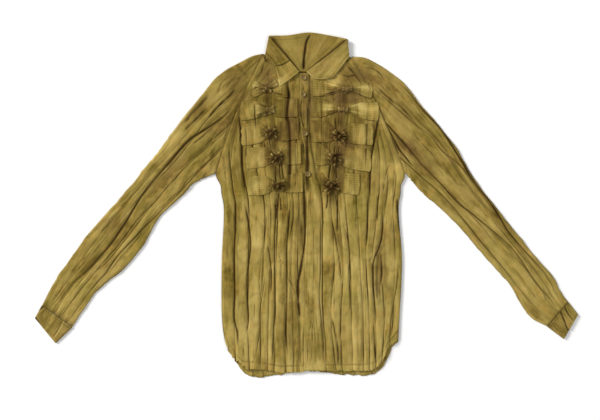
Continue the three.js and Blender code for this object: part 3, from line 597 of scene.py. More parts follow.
def cloth_material(name, lighter=0.0, stripes=0.0, roughness=0.66, browner=0.0, streaks=0.4):
    """The garment's cloth. The words say how a piece's cloth differs from the pleated panels'."""
    material, tree, shader = new_material(name)
    place = add(tree, "TexCoord").outputs
    light, mauve, fold = [
        add(tree, "Attribute", attribute_name=key).outputs["Fac"]
        for key in ("light", "mauve", "fold")
    ]
    mottle = noise(tree, place["Object"], 30, 6, 0.62)["Fac"]
    tint = noise(tree, place["Object"], 13, 3)["Fac"]
    stretch = add(tree, "Mapping", {"Vector": place["UV"], "Scale": STREAKS}).outputs[0]
    streak = noise(tree, stretch, 1, 4, 0.6)["Fac"]
    facet_place = add(tree, "Mapping", {"Vector": place["UV"], "Scale": FACETS}).outputs[0]
    warp = noise(tree, facet_place, 1.3, 2)["Color"]
    warped = add(tree, "VectorMath", {0: facet_place, 1: warp}, operation="ADD").outputs[0]
    cells = add(tree, "TexVoronoi", {"Vector": warped, "Scale": 1.0, "Smoothness": 0.25},
                feature="SMOOTH_F1", voronoi_dimensions="2D")
    facet = add(tree, "RGBToBW", {"Color": cells.outputs["Color"]}).outputs[0]
    threads = [waves(tree, place["UV"], THREADS_PER_METRE, 0.6, 1, direction) for direction in ("X", "Y")]
    stripe = waves(tree, place["UV"], STRIPES_PER_METRE, 1.2, 2, "Y")

    tone = summed(
        tree,
        scaled(tree, mottle, 0.45, -0.225),
        scaled(tree, facet, 0.26, -0.13),
        scaled(tree, streak, streaks, -0.5 * streaks),
        scaled(tree, stripe, stripes, -0.5 * stripes),
        scaled(tree, light, 0.46, 0.53 + lighter),
    )
    ramp = add(tree, "ValToRGB", {"Fac": tone})
    stops = ramp.color_ramp.elements
    stops[0].position, stops[0].color = DYE_COLOURS[0]
    stops[1].position, stops[1].color = DYE_COLOURS[-1]
    for position, colour in DYE_COLOURS[1:-1]:
        stops.new(position).color = colour
    spots = noise(tree, place["Object"], 47, 4, 0.6)["Fac"]
    colour = ramp.outputs["Color"]
    # olive, amber and mauve are dye; fold is painted shade in the folds, with dye gathered there
    for share, most, other in (
        (scaled(tree, tint, 1.5, -0.62), 0.45, OLIVE),
        (scaled(tree, spots, 2.4, -1.25), 0.4, AMBER),
        (scaled(tree, mauve, 0.62, browner), 0.8, MAUVE),
        (fold, 0.97, FOLD_BROWN),
    ):
        colour = blended(tree, limited(tree, share, most), colour, other)
    tree.links.new(colour, shader.inputs["Base Color"])

    tree.links.new(scaled(tree, mottle, -0.35, roughness + 0.175), shader.inputs["Roughness"])
    shader.inputs["Specular IOR Level"].default_value = 0.04
    shader.inputs["Sheen Weight"].default_value = 0.015
    shader.inputs["Sheen Roughness"].default_value = 0.45
    shader.inputs["Sheen Tint"].default_value = (0.9, 0.8, 0.45, 1)

    weave = add(tree, "Math", {0: threads[0], 1: threads[1]}, operation="MULTIPLY").outputs[0]
    relief = [scaled(tree, *part) for part in ((weave, 0.1), (streak, 1.0), (stripe, 1.2 * stripes))]
    relief = summed(tree, *relief)
    bump = add(tree, "Bump", {"Height": relief, "Strength": 0.55, "Distance": 0.0008})
    tree.links.new(bump.outputs["Normal"], shader.inputs["Normal"])
    return material


PLEATED = cloth_material("pleated_cloth")
STRIP_CLOTH = cloth_material("strip_cloth", lighter=0.04, stripes=0.05, streaks=0.7)
SMOOTH = cloth_material("pressed_cloth", lighter=-0.01, stripes=0.05, streaks=0.3)
BAND = cloth_material("band_cloth", stripes=0.14)
CUFF = cloth_material("cuff_cloth", lighter=-0.08, browner=0.12)
# the darker, browner knot cloth is painted shade deep in the tighter bows
KNOT = cloth_material("knot_cloth", lighter=-0.3, browner=0.08, roughness=0.6, streaks=0.3)
SOFT_KNOT = cloth_material("soft_knot_cloth", lighter=0.04, browner=0.15, roughness=0.6)
print("materials:", len(bpy.data.materials))

# %% [markdown]
# ## Laying a sheet
#
# Every cloth piece starts as one flat grid, made with `create_grid`, whose rows of points are then put
# where the cloth lies. A sheet is held as a few arrays of the grid's shape: x, y and z in millimetres,
# how dark the fold is, in painted shade and dye, and how light and mauve the cloth is, from dye and
# painted light and shade. The piece's UV map is measured from the laid cloth itself, so weave and
# streaks keep their real size. A Solidify modifier then gives the cloth its thickness, away from the
# side that shows.

# %% Lay a sheet as a mesh, and hand it to the frame
TAKE_UP = 1.2  # how much wider the cloth was before it was crinkled
triangles = {}


def measured(x, y):
    """Distances across and along a laid grid, averaged over its rows and its columns."""
    across = np.hypot(np.diff(x, axis=1), np.diff(y, axis=1)).mean(0)
    length = np.hypot(np.diff(x, axis=0), np.diff(y, axis=0)).mean(1)
    across = np.concatenate([[0], np.cumsum(across)])
    length = np.concatenate([[0], np.cumsum(length)])
    return np.broadcast_to(across, x.shape).copy(), np.broadcast_to(length[:, None], x.shape).copy()


def new_sheet(x, y):
    """A flat sheet without folds, whose cloth is measured as it lies."""
    across, length = measured(x, y)
    z, fold = np.zeros(x.shape), np.zeros(x.shape)
    return {"x": x, "y": y, "z": z, "fold": fold, "across": across, "length": length}


def lay(name, sheet, closed=False):
    """A mesh of the sheet. A closed one has its first and last columns sewn together."""
    rows, columns = sheet["x"].shape
    bm = bmesh.new()
    bmesh.ops.create_grid(bm, x_segments=columns - 1, y_segments=rows - 1, size=0.5)
    mesh = finished(name, bm)
    points = np.stack([sheet["x"] + SHIFT[0], sheet["y"] + SHIFT[1], sheet["z"]], -1) * MM
    mesh.vertices.foreach_set("co", points.ravel())
    corners = np.empty(len(mesh.loops), int)
    mesh.loops.foreach_get("vertex_index", corners)
    flat = np.stack([sheet["across"], sheet["length"]], -1).reshape(-1, 2) * MM
    mesh.uv_layers.new(name="cloth").data.foreach_set("uv", flat[corners].ravel())
    for key in ("fold", "light", "mauve"):
        mesh.attributes.new(key, "FLOAT", "POINT").data.foreach_set("value", sheet[key].ravel())
    if closed:
        bm = bmesh.new()
        bm.from_mesh(mesh)
        bmesh.ops.remove_doubles(bm, verts=bm.verts, dist=1e-6)
        bmesh.ops.recalc_face_normals(bm, faces=bm.faces)
        bm.to_mesh(mesh)
        bm.free()
    mesh.polygons.foreach_set("use_smooth", np.ones(len(mesh.polygons), bool))
    mesh.update()
    return mesh


def place_piece(name, mesh, material, thickness, offset=-1):
    """Makes the mesh a piece of the garment that stands for the solid of the same name."""
    piece = in_scene(name, mesh)
    mesh.materials.append(material)
    if thickness:
        wall = piece.modifiers.new("cloth", "SOLIDIFY")
        wall.thickness = thickness * MM
        wall.offset = offset
    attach(piece, "root")
    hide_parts(name)
    faces = len(mesh.polygons) * 2
    triangles[name] = faces * 2 if thickness else faces
    return piece


def surface_of(mesh):
    """A mesh as a surface that later pieces can be laid on."""
    return BVHTree.FromPolygons([v.co for v in mesh.vertices], [p.vertices for p in mesh.polygons])


def declare_sheet(piece, sheet, take_up=1.0):
    """Says what flat cut the piece is. take_up is how much wider the cut is than the laid cloth."""
    x, y = sheet["x"], sheet["y"]
    ax, ay = x[1:, 1:] - x[:-1, :-1], y[1:, 1:] - y[:-1, :-1]
    bx, by = x[1:, :-1] - x[:-1, 1:], y[1:, :-1] - y[:-1, 1:]
    area = float(np.abs(ax * by - ay * bx).sum() / 2) * take_up * MM * MM
    wide = float(np.hypot(np.diff(x, axis=1), np.diff(y, axis=1)).sum(1).max())
    tall = float(np.hypot(np.diff(x, axis=0), np.diff(y, axis=0)).sum(0).max())
    flat = (round(wide * take_up * MM, 3), round(tall * MM, 3))
    area = min(area, flat[0] * flat[1])
    print(f"{piece.name}: cut {flat[0]:.3f} x {flat[1]:.3f} m, {area:.4f} square metres")


# %% [markdown]
# ## Pleats
#
# A pleat here isn't a fold pressed flat. It is a soft ridge 10 to 30 mm wide with a sharp crease on each
# side, and it rises steeply out of one crease and falls more gently into the next. Each panel is drawn by
# its creases: where each stands at a few heights. Columns of points are packed closely at the creases
# and spread out over the crowns.


# %% Ridges between creases
def stations(widths, count):
    """Pleat number and share across it for about count columns, packed closely at the creases."""
    places = []
    for number, width in enumerate(widths):
        columns = max(5, round(count * width / sum(widths)))
        share = np.arange(columns) / columns
        packed = share - 0.62 * np.sin(2 * np.pi * share) / (2 * np.pi)
        places += [(number, s) for s in packed]
    places.append((len(widths) - 1, 1.0))
    numbers, shares = zip(*places)
    return np.array(numbers), np.array(shares)


def ridge(share, width, steep=2.0, gentle=3.4):
    """Height of a pleat, 0 to 1, at a share of its width: steep at its start, gentler at its end."""
    width = np.maximum(width, 0.5)
    rise = 1 - np.exp(-share * width / steep)
    fall = 1 - np.exp(-(1 - share) * width / gentle)
    return rise * fall


# %% [markdown]
# ## The creases of the back and the fronts
#
# The creases' places are the same as in the solids: x at eight heights from the hem to the neck, and the
# rise of the pleat that follows. The sides follow the raglan seams above the underarm.

# %% Panels' outlines and creases
LEVELS = [-352, -234, -118, -2, 71, 161, 247, 312]
UNDERARM = 4
TOP = len(LEVELS) - 1
RAGLAN_BULGE = 7.5  # how far the raglan seam bows outwards
SEAM_GAP = 0.16  # between two pieces that are sewn edge to edge
SEAM_LEVEL = 3.7  # height of the cloth along the raglan seam
SEAM_SHADE = (110, 235)  # the seam is dark between these heights on the right
Pleat = namedtuple("Pleat", "rise places")
LEFT_PLEATS = [Pleat(*row) for row in [
    (1.6, [-175, -182, -182, -178, -195, -164, -132, -94]),
    (2.6, [-152, -154, -154, -153, -162, -153, -126, -88]),
    (3.0, [-122, -126, -124, -124, -135, -140, -119, -82]),
    (1.4, [-98, -99, -92, -90, -106, -119, -111, -74]),
    (2.0, [-84, -82, -78, -77, -87, -101, -101, -66]),
    (2.8, [-70, -67, -65, -62, -67, -83, -89, -57]),
    (2.4, [-44, -45, -43, -40, -51, -66, -74, -46]),
    (2.2, [-27, -29, -31, -28, -36, -38, -41, -35]),
    (0.6, [-14, -16, -19, -16, -20, -23, -27, -24]),
    (0.0, [-2, -1, 0, 4, 2, -7, -11, -12]),
]]
RIGHT_PLEATS = [Pleat(*row) for row in [
    (0.4, [-2, -1, 0, 4, 2, -7, -11, -12]),
    (2.8, [43, 35, 34, 34, 30, 31, 35, 12]),
    (1.8, [66, 53, 60, 53, 49, 53, 57, 27]),
    (2.4, [77, 74, 79, 69, 64, 68, 72, 40]),
    (2.8, [100, 97, 93, 84, 83, 87, 87, 53]),
    (1.6, [123, 121, 115, 109, 102, 104, 101, 63]),
    (2.2, [136, 134, 128, 134, 137, 137, 112, 72]),
    (2.6, [149, 148, 142, 153, 158, 149, 120, 80]),
    (1.8, [161, 167, 160, 170, 175, 158, 127, 87]),
    (1.4, [178, 186, 190, 186, 192, 166, 132, 92]),
    (0.0, [197, 200, 205, 198, 212, 174, 137, 98]),
]]
FRONT_HEM = [
    (-175, -290), (-164, -314), (-152, -333), (-137, -348), (-96, -352), (-51, -359), (5, -356),
    (68, -355), (126, -355), (148, -351), (158, -338), (168, -322), (176, -306), (197, -284),
]
BACK_HEM = [
    (-175, -292), (-152, -335), (-142, -351), (-134, -361), (-121, -367), (-100, -371), (-51, -363),
    (-18, -359), (5, -353), (31, -359), (61, -363), (128, -366), (149, -361), (158, -354), (166, -345),
    (172, -332), (179, -319), (184, -305), (197, -292),
]
NECKLINE = [(-94, 312), (-60, 297), (-12, 284), (27, 287), (60, 300), (98, 314)]
BACK_CREASES = [0, 0.07, 0.16, 0.22, 0.33, 0.4, 0.49, 0.57, 0.68, 0.75, 0.85, 0.93, 1]
BACK_NECK_DROP = 4
NECK_RISE = {"left": 13, "right": 4}  # how far the shoulders run up beside the collar
WAIST_IN = 6  # how far the sides draw in just below the underarm
SIDES = {"left": (LEFT_PLEATS[0].places, -1), "right": (RIGHT_PLEATS[-1].places, 1)}


def height_at(outline, x):
    """The height of an outline at x."""
    return np.interp(x, [p[0] for p in outline], [p[1] for p in outline])


def raglan(side, share):
    """The raglan seam at a share of the way from the neck to the underarm."""
    places, outward = SIDES[side]
    bow = outward * RAGLAN_BULGE * 4 * share * (1 - share)
    neck = height_at(NECKLINE, places[TOP]) + NECK_RISE[side]
    return mix(places[TOP], places[UNDERARM], share) + bow, mix(neck, LEVELS[UNDERARM], share)


def crease_line(places, t, hem, side=None):
    """x and y of a crease at t, counted in levels from the hem. A side edge follows its raglan seam."""
    heights = np.array(LEVELS, float)
    heights[0] = height_at(hem, places[0])
    heights[TOP] = height_at(NECKLINE, places[TOP])
    x, y = along(places, t), along(heights, t)
    if side:
        seam_x, seam_y = raglan(side, (TOP - t) / (TOP - UNDERARM))
        above = t > UNDERARM
        x = x - SIDES[side][1] * WAIST_IN * hump(y - 43, 14)
        x, y = np.where(above, seam_x, x), np.where(above, seam_y, y)
    return x, y


def even_levels(count):
    """count places from hem to neck, evenly spaced in height, counted in levels."""
    return np.interp(np.linspace(LEVELS[0], LEVELS[TOP], count), LEVELS, np.arange(TOP + 1))


print("pleats:", len(LEFT_PLEATS) + len(RIGHT_PLEATS) + len(BACK_CREASES) - 3)

# %% [markdown]
# ## The back
#
# The back is one panel. Its outside lies on the table, so it is modelled face down: the grid is the
# underside, flat on the table with shallow grooves where its creases are, and the thickness goes up.

# %% Back panel
BACK_ROWS = 150
BACK_COLUMNS = 150
CLOTH = 1.0
GROOVE = 1.05  # depth of a crease on the underside
HEM_DEPTH = 12

t = even_levels(BACK_ROWS)[:, None]
number, share = stations(np.diff(BACK_CREASES), BACK_COLUMNS)
across = mix(np.array(BACK_CREASES)[number], np.array(BACK_CREASES)[number + 1], share)[None, :]
left_x, left_y = crease_line(SIDES["left"][0], t, BACK_HEM, "left")
right_x, right_y = crease_line(SIDES["right"][0], t, BACK_HEM, "right")
x = mix(left_x + SEAM_GAP, right_x - SEAM_GAP, across)
dip = BACK_NECK_DROP * np.sin(np.pi * across) * np.maximum(0, t - TOP + 1)
ragged = 1.3 * grain(x, 0 * x, 11, 9, 41) + 1.5 * ((x / 9.7) % 1 - 0.5)
y = mix(mix(left_y, right_y, across) - dip, height_at(BACK_HEM, x) + ragged, np.maximum(0, 1 - t) ** 2)
back = new_sheet(x, y)
pleat_width = np.diff(BACK_CREASES)[number] * (right_x - left_x)
crown = ridge(share[None, :], pleat_width, 2.0, 3.0)
bend = crinkle(back, 40)
back["z"] = GROOVE * (1 - crown) + np.clip(0.22 * bend, 0, 0.3)
sides = np.minimum(across, 1 - across) * (right_x - left_x)
back["z"] = np.where(sides < 2, np.maximum(back["z"], 0.3), back["z"])
# painted shade in the creases of the back, and along its hem
back["fold"] = 0.7 * soft_step((0.55 - crown) / 0.5)
darken(back, 0.5 * hump(y - height_at(BACK_HEM, x) - HEM_DEPTH + 1, 1.2))
dye_and_paint_light(back, 900)
back_piece = place_piece("back", lay("back", back), PLEATED, CLOTH, offset=1)
declare_sheet(back_piece, back, TAKE_UP)

# %% [markdown]
# ## The fronts
#
# Each front is a pleated panel that lies on the back. Its pleats' height is measured from a floor that
# just clears the back. The creases below are the ones that show: deep ones beside the front strip and
# under the bows, thin ones that start or end half-way, and one open slit low on the left front where a
# pleat has folded over.

# %% Creases of the fronts
LEFT_MARKS = [
    (3.2, 1, [(-155, 26), (-153, -15), (-155, -114), (-155, -228), (-152, -256), (-148, -273),
        (-146, -307)]),
    (2.4, 0.9, [(-135, 20), (-121, -73), (-128, -172), (-125, -243), (-129, -275)]),
    (1.4, 0.45, [(-85, -19), (-90, -73)]),
    (2.6, 0.9, [(-83, -82), (-76, -138), (-77, -190)]),
    (1.5, 0.55, [(-89, -148), (-98, -214), (-101, -271), (-113, -343)]),
    (2.2, 0.85, [(-68, 26), (-66, -26), (-68, -87), (-68, -200), (-71, -284), (-73, -345)]),
    (3.0, 0.9, [(-59, 30), (-65, -34)]),
    (2.4, 0.9, [(-34, 17), (-40, -58), (-42, -103), (-42, -200), (-44, -256), (-40, -346)]),
    (1.6, 0.6, [(-28, -22), (-34, -60)]),
    (8.0, 0.45, [(-14, -20), (-10, -75), (-7, -125)]),
    (4.4, 1, [(-6, 64), (-4, -22), (-5, -86), (-11, -122), (-17, -160), (-18, -200)]),
    (5.0, 1, [(-19, -150), (-18, -185), (-17, -215), (-15, -246)]),
    (2.0, 0.6, [(-42, -150), (-30, -172), (-22, -196)]),
    (2.0, 0.5, [(-10, -250), (-14, -300), (-12, -346)]),
    (1.5, 0.5, [(-60, -100), (-54, -130), (-57, -175)]),
    (1.4, 0.45, [(-97, -110), (-101, -160), (-99, -200)]),
    (1.4, 0.6, [(-24, -280), (-27, -346)]),
    (1.3, 0.45, [(-134, -292), (-137, -340)]),
    (1.2, 0.35, [(-168, 20), (-166, -60), (-171, -130)]),
    (1.2, 0.35, [(-108, -20), (-106, -70)]),
    (1.2, 0.4, [(-53, -60), (-54, -110), (-56, -150)]),
    (1.3, 0.4, [(-112, -205), (-110, -262)]),
    (3.0, 0.28, [(-175, -45), (-162, -58), (-151, -76)]),
    (3.2, 0.3, [(-150, -99), (-128, -92), (-119, -77)]),
    (3.0, 0.28, [(-181, -148), (-168, -142), (-157, -140)]),
    (3.4, 0.3, [(-90, -137), (-76, -126), (-62, -121), (-44, -128)]),
    (3.0, 0.35, [(-58, -55), (-44, -64), (-30, -76), (-12, -93)]),
    (3.0, 0.25, [(-120, -20), (-104, -34), (-92, -52)]),
    (3.0, 0.25, [(-148, -20), (-136, -36), (-126, -38)]),
    (2.8, 0.22, [(-122, -196), (-104, -190), (-84, -200)]),
]
UPPER_LEFT_MARKS = [
    (5.0, 1, [(-43, 274), (-41, 250), (-39, 232), (-42, 192), (-38, 174), (-37, 130), (-36, 75),
        (-38, 20)]),
    (2.0, 0.7, [(-112, 222), (-108, 160)]),
    (3.0, 0.9, [(-146, 208), (-139, 129), (-137, 68), (-132, 26)]),
    (2.0, 0.6, [(-167, 133), (-161, 56), (-154, 6)]),
    (1.3, 0.4, [(-178, 110), (-172, 40)]),
    (1.8, 0.85, [(-66, 88), (-67, 66), (-66, 48)]),
    (1.8, 0.85, [(-58, 92), (-58, 70), (-56, 50)]),
    (1.6, 0.7, [(-90, 138), (-88, 122), (-84, 108)]),
    (2.0, 0.8, [(-64, 18), (-65, 2), (-66, -14)]),
    (2.0, 0.8, [(-56, 20), (-55, 4), (-53, -12)]),
    (1.8, 0.55, [(-92, 306), (-98, 286), (-112, 272)]),
    (1.8, 0.5, [(-76, 296), (-84, 280), (-80, 264)]),
    (1.6, 0.45, [(-120, 262), (-112, 246), (-118, 232)]),
]
RIGHT_MARKS = [
    (2.6, 0.9, [(66, 30), (67, -60)]),
    (2.0, 0.8, [(53, -20), (70, -115), (75, -165)]),
    (2.0, 0.8, [(78, -155), (74, -214), (73, -290)]),
    (2.6, 0.85, [(53, -238), (66, -299), (68, -346)]),
    (2.0, 0.8, [(84, -50), (92, -103), (92, -172), (95, -234)]),
    (1.2, 0.35, [(108, 44), (106, -62)]),
    (2.4, 0.85, [(133, 30), (130, -58), (126, -92)]),
    (1.8, 0.7, [(155, 22), (151, -35)]),
    (3.0, 0.85, [(165, 4), (160, -73), (144, -120), (143, -160), (145, -200), (151, -260)]),
    (2.6, 0.85, [(157, -86), (162, -144), (157, -177), (158, -220)]),
    (7.0, 0.4, [(154, -90), (152, -150), (152, -210)]),
    (3.0, 0.85, [(195, 16), (196, -17), (202, -64)]),
    (2.0, 0.7, [(199, -124), (195, -157), (182, -242), (179, -304)]),
    (2.4, 0.85, [(144, -250), (147, -312), (151, -344)]),
    (1.4, 0.5, [(112, -208), (112, -277), (112, -346)]),
    (1.2, 0.4, [(121, -137), (123, -221), (123, -305)]),
    (1.2, 0.35, [(184, -20), (181, -90), (186, -150)]),
    (1.2, 0.35, [(60, -150), (58, -230)]),
    (1.3, 0.4, [(170, -180), (168, -250), (164, -300)]),
    (3.2, 0.32, [(36, -150), (48, -140), (58, -130), (69, -112)]),
    (3.4, 0.3, [(72, -90), (88, -98), (104, -107), (128, -119), (154, -113)]),
    (3.2, 0.3, [(126, -82), (144, -90), (160, -92), (182, -77)]),
    (3.0, 0.35, [(132, -123), (148, -108), (163, -91), (172, -42)]),
    (2.8, 0.25, [(60, -30), (76, -44), (96, -40)]),
    (3.0, 0.28, [(164, -130), (180, -142), (198, -138)]),
    (2.8, 0.25, [(82, -20), (98, -34), (118, -26)]),
]
UPPER_RIGHT_MARKS = [
    (3.2, 0.95, [(157, 194), (145, 140), (137, 80), (135, 6)]),
    (2.0, 0.7, [(145, 228), (172, 189), (201, 152)]),
    (1.4, 0.5, [(180, 90), (172, 69), (160, 6)]),
    (1.4, 0.45, [(190, 80), (186, 20)]),
    (1.4, 0.55, [(32, 262), (32, 189), (31, 129), (28, 66)]),
    (2.2, 0.95, [(62, 190), (63, 170), (66, 150)]),
    (2.0, 0.9, [(52, 92), (50, 74), (47, 56)]),
    (1.6, 0.8, [(62, 128), (60, 116), (62, 104)]),
    (1.6, 0.8, [(70, 130), (69, 118), (66, 106)]),
    (1.8, 0.7, [(46, 26), (45, 10), (42, -10)]),
    (1.8, 0.7, [(62, 24), (64, 8), (66, -12)]),
    (2.0, 0.6, [(86, 300), (100, 286), (118, 262)]),
    (1.6, 0.5, [(104, 312), (118, 290), (126, 268)]),
    (1.8, 0.5, [(70, 284), (88, 276), (106, 280)]),
]

# %% Front panels
BETWEEN_BOWS = {  # deep shade between the pinched middles of the bands
    "left": [(-84, 228), (-72, 128), (-64, 72)],
    "right": [(80, 229), (74, 177), (60, 74), (55, 16)],
}
FRONT_ROWS = 205
FRONT_COLUMNS = 156
FRONT_VALLEY = 4.0  # top of the cloth in a crease
FRONT_FLOOR = 3.65  # no part of a front's top sinks below this
CROWN_EXTRA = 0.8
STEEPEST = 0.14  # a pleat rises by no more than this share of its width


def front_panel(side, pleats, marks, seed):
    """A front as a sheet: its pleats, its crumpled yoke, its hem, and the dip along its raglan seam."""
    t = even_levels(FRONT_ROWS)[:, None]
    last = len(pleats) - 1
    outer = 0 if side == "left" else last
    sides = [side if k == outer else None for k in range(len(pleats))]
    lines = [crease_line(pleat.places, t, FRONT_HEM, edge) for pleat, edge in zip(pleats, sides)]
    xs, ys = [np.concatenate([line[k] for line in lines], 1) for k in (0, 1)]
    xs[:, 0] += SEAM_GAP / 2
    xs[:, -1] -= SEAM_GAP / 2
    number, share = stations(np.diff(xs, axis=1).mean(0), FRONT_COLUMNS)
    x = mix(xs[:, number], xs[:, number + 1], share)
    y = mix(ys[:, number], ys[:, number + 1], share)
    hem_share = np.maximum(0, 1 - t) ** 2
    corner = 1 + 2.2 * soft_step((np.abs(x - 8) - 120) / 20)
    ragged = corner * (1.5 * grain(x, 0 * x, 9, 9, seed + 20) + 1.8 * ((x / 7.3) % 1 - 0.5))
    y = mix(y, height_at(FRONT_HEM, x) + ragged, hem_share)
    width = np.diff(xs, axis=1)[:, number]
    rise = np.array([p.rise for p in pleats])[number]
    calm = 1 - 0.75 * soft_step((y - 235) / 30)
    rise = np.minimum(rise, STEEPEST * width) * calm
    sheet = new_sheet(x, y)
    crown = ridge(share[None, :], width)
    uneven = 0.86 + 0.22 * grain(number * 7.0, sheet["length"], 1, 55, seed)
    bend = crinkle(sheet, seed)
    quiet = 0.5 + 0.5 * np.clip(crown * rise, 0, 1)
    open_cloth = yoke(x, y)
    pleats_left = 1 - 0.6 * open_cloth
    sheet["z"] = FRONT_VALLEY + crown * (rise + CROWN_EXTRA * np.minimum(rise, 1)) * uneven * pleats_left
    sheet["z"] += 0.8 * bend * quiet * pleats_left + open_cloth * np.clip(crumple(x, y, 50), -1, 1.6)
    first = share < 0.5
    crease_number = number + np.where(first, 0, 1)
    strength = 0.42 + 0.62 * grain(crease_number * 5.0, sheet["length"], 1, 41, seed + 9)
    strength = np.clip(strength, 0, 1)
    edge = np.minimum(share * width, (1 - share) * width)
    # painted shade in the creases between the pleats, stronger in some creases than in others
    sheet["fold"] = 1.15 * strength * calm * hump(edge, 1.3) * (rise > 0.2) * pleats_left
    tone = grain(number * 3.0, sheet["length"], 1, 70, seed + 12)
    sheet["z"] = np.clip(sheet["z"], FRONT_FLOOR, None)
    press(sheet, marks, FRONT_FLOOR)
    over_hem = y - height_at(FRONT_HEM, x)
    sheet["z"] += 0.45 * soft_step((HEM_DEPTH - over_hem) / 2) - 0.5 * hump(over_hem - HEM_DEPTH - 1, 1.1)
    # painted shade in the dip just above the hem
    darken(sheet, 0.5 * hump(over_hem - HEM_DEPTH - 1.5, 1.3))
    seam_x, _ = crease_line(pleats[outer].places, t, FRONT_HEM, side)
    inward = np.abs(x - seam_x)
    sheet["z"] -= (sheet["z"] - SEAM_LEVEL) * hump(inward, 3.0)
    # painted shade along the raglan seam: dark on the right between SEAM_SHADE's heights, faint elsewhere
    shaded = (side == "right") & (y > SEAM_SHADE[0]) & (y < SEAM_SHADE[1])
    darken(sheet, np.where(shaded, 0.85, 0.05) * hump(inward, 1.7))
    # painted shade between the bows
    for place_x, place_y in BETWEEN_BOWS[side]:
        darken(sheet, 0.7 * (hump(x - place_x, 8) * hump(y - place_y, 18)))
    dye_and_paint_light(sheet, seed)
    sheet["light"] += 0.22 * tone * hump(share - 0.5, 0.62)
    return sheet


front_left = front_panel("left", LEFT_PLEATS, LEFT_MARKS + UPPER_LEFT_MARKS, 100)
front_right = front_panel("right", RIGHT_PLEATS, RIGHT_MARKS + UPPER_RIGHT_MARKS, 200)
fronts = {}
for side, sheet in (("left", front_left), ("right", front_right)):
    name = f"front_{side}"
    mesh = lay(name, sheet)
    piece = place_piece(name, mesh, PLEATED, CLOTH)
    declare_sheet(piece, sheet, TAKE_UP)
    fronts[side] = surface_of(mesh)
    print(name, "height, mm:", round(float(sheet["z"].min()), 2), round(float(sheet["z"].max()), 2))

# %% [markdown]
# ## The raglan sleeves
#
# A sleeve is a tube that lies flat: one layer on the table, one layer over it, a soft fold along each
# edge. It is sewn to the body along the raglan seam, and gathered into the cuff. Its pleats run down the
# arm. The grid goes once round the tube, over the top and back underneath, and its first and last
# columns are sewn together. The places of its edges and of its four deepest creases are given at each
# ring, from the raglan seam to the cuff.

# %% Outlines and creases of the sleeves
Ring = namedtuple("Ring", "up low creases")
RIGHT_RINGS = [Ring(*row) for row in [
    ((145, 307), (216, 66), (0.07, 0.32, 0.62, 0.85)),
    ((197, 273), (221, 60), (0.09, 0.35, 0.66, 0.87)),
    ((244, 219), (228, 51), (0.08, 0.29, 0.67, 0.84)),
    ((285, 170), (237, 38), (0.09, 0.24, 0.65, 0.81)),
    ((325, 118), (257, 19), (0.10, 0.22, 0.64, 0.80)),
    ((360, 58), (287, -5), (0.08, 0.20, 0.60, 0.79)),
    ((405, -2), (339, -58), (0.08, 0.20, 0.51, 0.81)),
    ((446, -54), (382, -110), (0.12, 0.22, 0.41, 0.82)),
    ((493, -112), (431, -164), (0.12, 0.24, 0.40, 0.84)),
    ((532, -157), (461, -215), (0.13, 0.25, 0.40, 0.78)),
    ((549, -189), (485, -243), (0.13, 0.25, 0.40, 0.75)),
    ((562, -208), (517, -260), (0.16, 0.28, 0.45, 0.75)),
]]
LEFT_RINGS = [Ring(*row) for row in [
    ((-134, 311), (-199, 67), (0.21, 0.40, 0.60, 0.78)),
    ((-186, 281), (-206, 64), (0.27, 0.44, 0.64, 0.81)),
    ((-238, 221), (-216, 60), (0.26, 0.42, 0.66, 0.84)),
    ((-281, 166), (-227, 55), (0.24, 0.38, 0.65, 0.85)),
    ((-315, 118), (-244, 45), (0.22, 0.36, 0.65, 0.87)),
    ((-347, 80), (-270, 18), (0.20, 0.35, 0.67, 0.89)),
    ((-388, 30), (-319, -29), (0.20, 0.41, 0.69, 0.88)),
    ((-431, -19), (-352, -88), (0.20, 0.46, 0.65, 0.83)),
    ((-476, -71), (-396, -139), (0.22, 0.51, 0.66, 0.82)),
    ((-513, -123), (-446, -181), (0.25, 0.49, 0.69, 0.88)),
    ((-543, -166), (-476, -219), (0.25, 0.43, 0.65, 0.87)),
    ((-568, -215), (-503, -261), (0.24, 0.40, 0.60, 0.83)),
]]
SEAM_CREASES = (0.06, 0.28, 0.58, 0.82)
SLEEVE_RISES = np.array([1.8, 2.6, 3.0, 2.6, 1.8])
